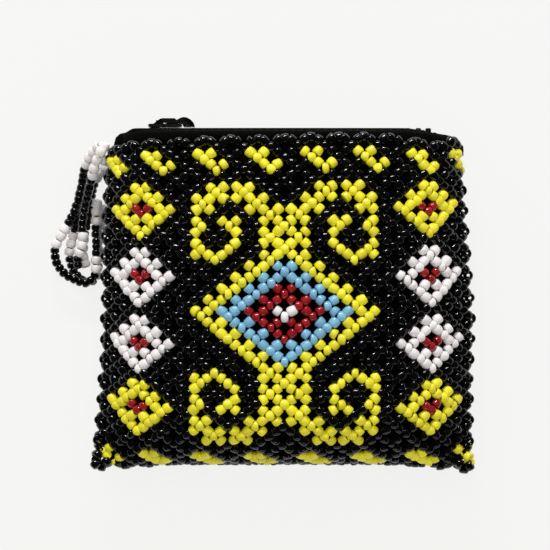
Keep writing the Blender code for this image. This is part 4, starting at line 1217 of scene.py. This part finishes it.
class CLUTCH_OT_slider(bpy.types.Operator):
    """Casts the slider: two plates, flanges, post and crown"""

    bl_idname = "clutch.slider"
    bl_label = "Cast the slider"

    def execute(self, context):
        sizes = context.scene.clutch_zip
        left, right = SLIDER_X - sizes.slider_length / 2, SLIDER_X + sizes.slider_length / 2
        width, taper = sizes.slider_half_width, PLATE_TAPER
        shield = rounded([
            (left, FOLD_Z - width), (right, FOLD_Z - width + taper),
            (right, FOLD_Z + width - taper), (left, FOLD_Z + width),
        ], PLATE_ROUND, steps=6)
        bm = bmesh.new()
        for outward in (-1, 1):
            near, far = sorted((ZIP_Y + outward * CHANNEL, ZIP_Y + outward * (CHANNEL + PLATE_THICKNESS)))
            add_prism(bm, shield, near, far, False, PLATE_BEVEL)
            low, high = sorted(FOLD_Z + outward * (width - inset) for inset in (FLANGE_INNER, FLANGE_OUTER))
            for upward in (-1, 1):
                spans = (TAPE_THICKNESS + SEAM_GAP, CHANNEL + PLATE_THICKNESS / 2)
                base, top = sorted(ZIP_Y + upward * span for span in spans)
                lip = rounded([
                    (left + FLANGE_LEFT, base), (right - FLANGE_RIGHT, base),
                    (right - FLANGE_RIGHT, top), (left + FLANGE_LEFT, top),
                ], FLANGE_ROUND)
                add_prism(bm, lip, low, high, True, FLANGE_BEVEL)
        post = rounded([
            (left + 0.3 * MM, FOLD_Z), (left + 0.9 * MM, FOLD_Z - POST_HALF),
            (left + 2.4 * MM, FOLD_Z - POST_HALF), (left + 3.0 * MM, FOLD_Z),
            (left + 2.4 * MM, FOLD_Z + POST_HALF), (left + 0.9 * MM, FOLD_Z + POST_HALF),
        ], 0.15 * MM)
        reach = CHANNEL + PLATE_THICKNESS / 2
        add_prism(bm, post, ZIP_Y - reach, ZIP_Y + reach, False, 0.0)
        add_prism(bm, self.crown(), FOLD_Z - CROWN_HALF, FOLD_Z + CROWN_HALF, True, 0.16 * MM)
        self.add_web(bm)
        slider = mesh_piece("slider_casting", bm, radians(35))
        dress(slider, lacquer(), "slider", "black_metal", "slider_body")
        return {"FINISHED"}

    def crown(self):
        """Side outline of the bridge that the pull hangs in, with its long nose towards -X."""
        base = ZIP_Y + CHANNEL + PLATE_THICKNESS
        under, over = base + CROWN_WINDOW - 0.2 * MM, base + CROWN_WINDOW + CROWN_BEAM
        left, right = SLIDER_X - CROWN_REACH, SLIDER_X + CROWN_REACH
        foot = base - PLATE_THICKNESS / 2
        arch = [
            (left - 0.6 * MM, foot), (left - 0.3 * MM, base), (left + 1.7 * MM, over - 0.25 * MM),
            (left + 2.4 * MM, over), (right - 0.6 * MM, over), (right, over - 0.6 * MM), (right, foot),
            (right - CROWN_LEG, foot), (right - CROWN_LEG, under), (left + CROWN_LEG, under),
            (left + CROWN_LEG, foot),
        ]
        return rounded(arch, 0.12 * MM, steps=3)

    def add_web(self, bm):
        """A thin wall inside the crown's window on each side of the pull's bar."""
        base = ZIP_Y + CHANNEL + PLATE_THICKNESS
        for outward in (-1, 1):
            near, far = sorted((SLIDER_X + outward * 0.45 * MM, SLIDER_X + outward * 2.6 * MM))
            web = [(near, base - 0.1 * MM), (far, base - 0.1 * MM),
                   (far, base + CROWN_WINDOW), (near, base + CROWN_WINDOW)]
            add_prism(bm, web, FOLD_Z - 0.35 * MM, FOLD_Z + 0.35 * MM, True, 0.0)


class CLUTCH_OT_pull(bpy.types.Operator):
    """Casts the arched pull, whose cross bar turns in the slider's crown"""

    bl_idname = "clutch.pull"
    bl_label = "Cast the pull"

    def execute(self, context):
        sizes = context.scene.clutch_zip
        bar = sizes.pull_thickness / 2
        eye, width = sizes.pull_eye, sizes.pull_half_width
        over = self.curve(((-0.3, 0.3), (1.2, 0.3), *PULL_OVER))
        under = self.curve((*PULL_UNDER, (1.2, -0.3), (-0.3, -0.3)))
        whole = over + under
        tail = [point for point in whole if point[0] > PULL_PIVOT.x + eye]
        bm = bmesh.new()
        for low, high in ((-width, sizes.pull_arm - width), (width - sizes.pull_arm, width)):
            add_prism(bm, whole, FOLD_Z + low, FOLD_Z + high, True, 0.14 * MM)
        add_prism(bm, tail, FOLD_Z - width, FOLD_Z + width, True, 0.14 * MM)
        cheek = rounded([(PULL_PIVOT.x + x * MM, PULL_PIVOT.y + y * MM) for x, y in PULL_CHEEK], 0.15 * MM)
        for middle in (CHEEK_INSET - width, width - CHEEK_INSET):
            low, high = (FOLD_Z + middle + side * CHEEK_THICKNESS / 2 for side in (-1, 1))
            add_prism(bm, cheek, low, high, True, 0.08 * MM)
        ends = [PULL_PIVOT + Vector((0, 0, side * (width - bar))) for side in (-1, 1)]
        tube_along(bm, ends, bar, sides=12)
        pull = mesh_piece("pull_casting", bm, radians(35))
        dress(pull, lacquer(), "pull", "black_metal", "pull_tab")
        return {"FINISHED"}

    def curve(self, points):
        """A smooth side line of the pull, with its places as millimetres from the pivot."""
        route = smooth_route([(x * MM, y * MM, 0.0) for x, y in points])
        total = route[1][-1]
        places = [point_at(route, total * share) for share in np.linspace(0, 1, 24)]
        return [(PULL_PIVOT.x + place.x, PULL_PIVOT.y + place.y) for place in places]


# Stage

def floor_material(stage):
    """Pale floor: mostly its own even tone for the eye and for reflections, with part of the real shadow."""
    material, shader = new_material("pale_floor", Roughness=0.9)
    tree = material.node_tree
    tone = opaque(stage.floor_tone)
    paper = tree.nodes.new("ShaderNodeTexNoise")
    paper.inputs["Scale"].default_value = 40.0
    near = tree.nodes.new("ShaderNodeMix")
    near.data_type = "RGBA"
    near.inputs["A"].default_value = tone
    near.inputs["B"].default_value = opaque(stage.floor_tone, 0.99)
    tree.links.new(paper.outputs["Fac"], near.inputs["Factor"])
    tree.links.new(near.outputs["Result"], shader.inputs["Base Color"])
    glow = tree.nodes.new("ShaderNodeEmission")
    glow.inputs["Color"].default_value = tone
    path = tree.nodes.new("ShaderNodeLightPath")
    seen = math_node(tree, "MAXIMUM", path.outputs["Is Camera Ray"], path.outputs["Is Glossy Ray"])
    seen = math_node(tree, "MAXIMUM", seen, path.outputs["Is Transmission Ray"])
    share = math_node(tree, "MULTIPLY", seen, 1 - stage.shadow_share)
    mixed = tree.nodes.new("ShaderNodeMixShader")
    tree.links.new(share, mixed.inputs["Fac"])
    tree.links.new(shader.outputs["BSDF"], mixed.inputs[1])
    tree.links.new(glow.outputs["Emission"], mixed.inputs[2])
    tree.links.new(mixed.outputs["Shader"], tree.nodes["Material Output"].inputs["Surface"])
    return material


def sky_world(stage):
    """Even light all round, which hardly shows in reflections."""
    world = bpy.data.worlds.new("even_sky")
    world.use_nodes = True
    tree = world.node_tree
    sky = tree.nodes["Background"]
    sky.inputs["Color"].default_value = (1.0, 1.0, 1.0, 1.0)
    path = tree.nodes.new("ShaderNodeLightPath")
    dimmed = math_node(tree, "MULTIPLY", path.outputs["Is Glossy Ray"], stage.sky_gloss - stage.sky)
    tree.links.new(math_node(tree, "ADD", dimmed, stage.sky), sky.inputs["Strength"])
    return world


def add_lamp(name, place, target, size, watts, depth=None):
    data = bpy.data.lights.new(name, "AREA")
    data.shape = "RECTANGLE"
    data.size = size
    data.size_y = depth or size
    data.energy = watts
    lamp = link(bpy.data.objects.new(name, data))
    lamp.location = place
    lamp.rotation_euler = (Vector(target) - Vector(place)).to_track_quat("-Z", "Y").to_euler()
    return lamp


# Places and sizes of the lamps and the floor, in metres
KEY_PLACE, KEY_SIZE, KEY_DEPTH = (-0.08, 0.66, 0.34), 0.30, 0.06
OVER_PLACE, OVER_SIZE = (0.05, 0.15, 0.95), 0.8
FILL_PLACE, FILL_SIZE, FILL_DEPTH = (0.1, -0.8, 0.35), 0.7, 0.1
FLOOR_HALF = 1.5


class CLUTCH_OT_stage(bpy.types.Operator):
    """Sets the pale floor, the soft lamps and the camera over the clutch"""

    bl_idname = "clutch.stage"
    bl_label = "Set the stage"

    def execute(self, context):
        scene = context.scene
        stage = scene.clutch_stage
        bm = bmesh.new()
        bmesh.ops.create_grid(bm, x_segments=1, y_segments=1, size=FLOOR_HALF)
        floor_piece = mesh_piece("floor", bm)
        floor_piece.data.materials.append(floor_material(stage))
        camera_data = bpy.data.cameras.new("camera")
        reach = stage.camera_z - stage.frame_plane
        camera_data.angle = 2 * atan(stage.frame_width / 2 / reach)
        camera_data.clip_start = 0.01
        camera = link(bpy.data.objects.new("camera", camera_data))
        camera.location = (stage.camera_x, stage.camera_y, stage.camera_z)
        scene.camera = camera
        target = (0.0, 0.0, FOLD_Z)
        add_lamp("key", KEY_PLACE, target, KEY_SIZE, stage.key_watts, depth=KEY_DEPTH)
        over = add_lamp("over", OVER_PLACE, target, OVER_SIZE, stage.over_watts)
        over.visible_glossy = False
        add_lamp("front_fill", FILL_PLACE, target, FILL_SIZE, stage.fill_watts, depth=FILL_DEPTH)
        scene.world = sky_world(stage)
        scene.view_settings.view_transform = "Standard"
        return {"FINISHED"}


class CLUTCH_PT_panel(bpy.types.Panel):
    """Steps of the clutch's making, in order"""

    bl_idname = "CLUTCH_PT_panel"
    bl_label = "Bead clutch"
    bl_space_type = "VIEW_3D"
    bl_region_type = "UI"
    bl_category = "Clutch"

    def draw(self, context):
        for operator in OPERATORS:
            self.layout.operator(operator.bl_idname)
        for name, group in SETTINGS.items():
            box = self.layout.box()
            box.label(text=group.__name__)
            for label in group.__annotations__:
                box.prop(getattr(context.scene, name), label)


SETTINGS = {
    "clutch_beads": ClutchBeads,
    "clutch_colours": ClutchColours,
    "clutch_zip": ClutchZip,
    "clutch_stage": ClutchStage,
}
OPERATORS = (
    CLUTCH_OT_stage, CLUTCH_OT_strap, CLUTCH_OT_net, CLUTCH_OT_lining,
    CLUTCH_OT_tapes, CLUTCH_OT_teeth, CLUTCH_OT_slider, CLUTCH_OT_pull,
)
CLASSES = (*SETTINGS.values(), *OPERATORS, CLUTCH_PT_panel)


def register():
    for item in CLASSES:
        bpy.utils.register_class(item)
    for name, group in SETTINGS.items():
        setattr(bpy.types.Scene, name, PointerProperty(type=group))


def unregister():
    for name in SETTINGS:
        delattr(bpy.types.Scene, name)
    for item in reversed(CLASSES):
        bpy.utils.unregister_class(item)


def plain(box):
    return [[float(value) for value in corner] for corner in box]


def main():
    register()
    bpy.ops.clutch.stage()
    bpy.ops.clutch.strap()
    bpy.ops.clutch.net()
    bpy.ops.clutch.lining()
    bpy.ops.clutch.tapes()
    bpy.ops.clutch.teeth()
    bpy.ops.clutch.slider()
    bpy.ops.clutch.pull()
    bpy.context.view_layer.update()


if __name__ == "__main__":
    main()
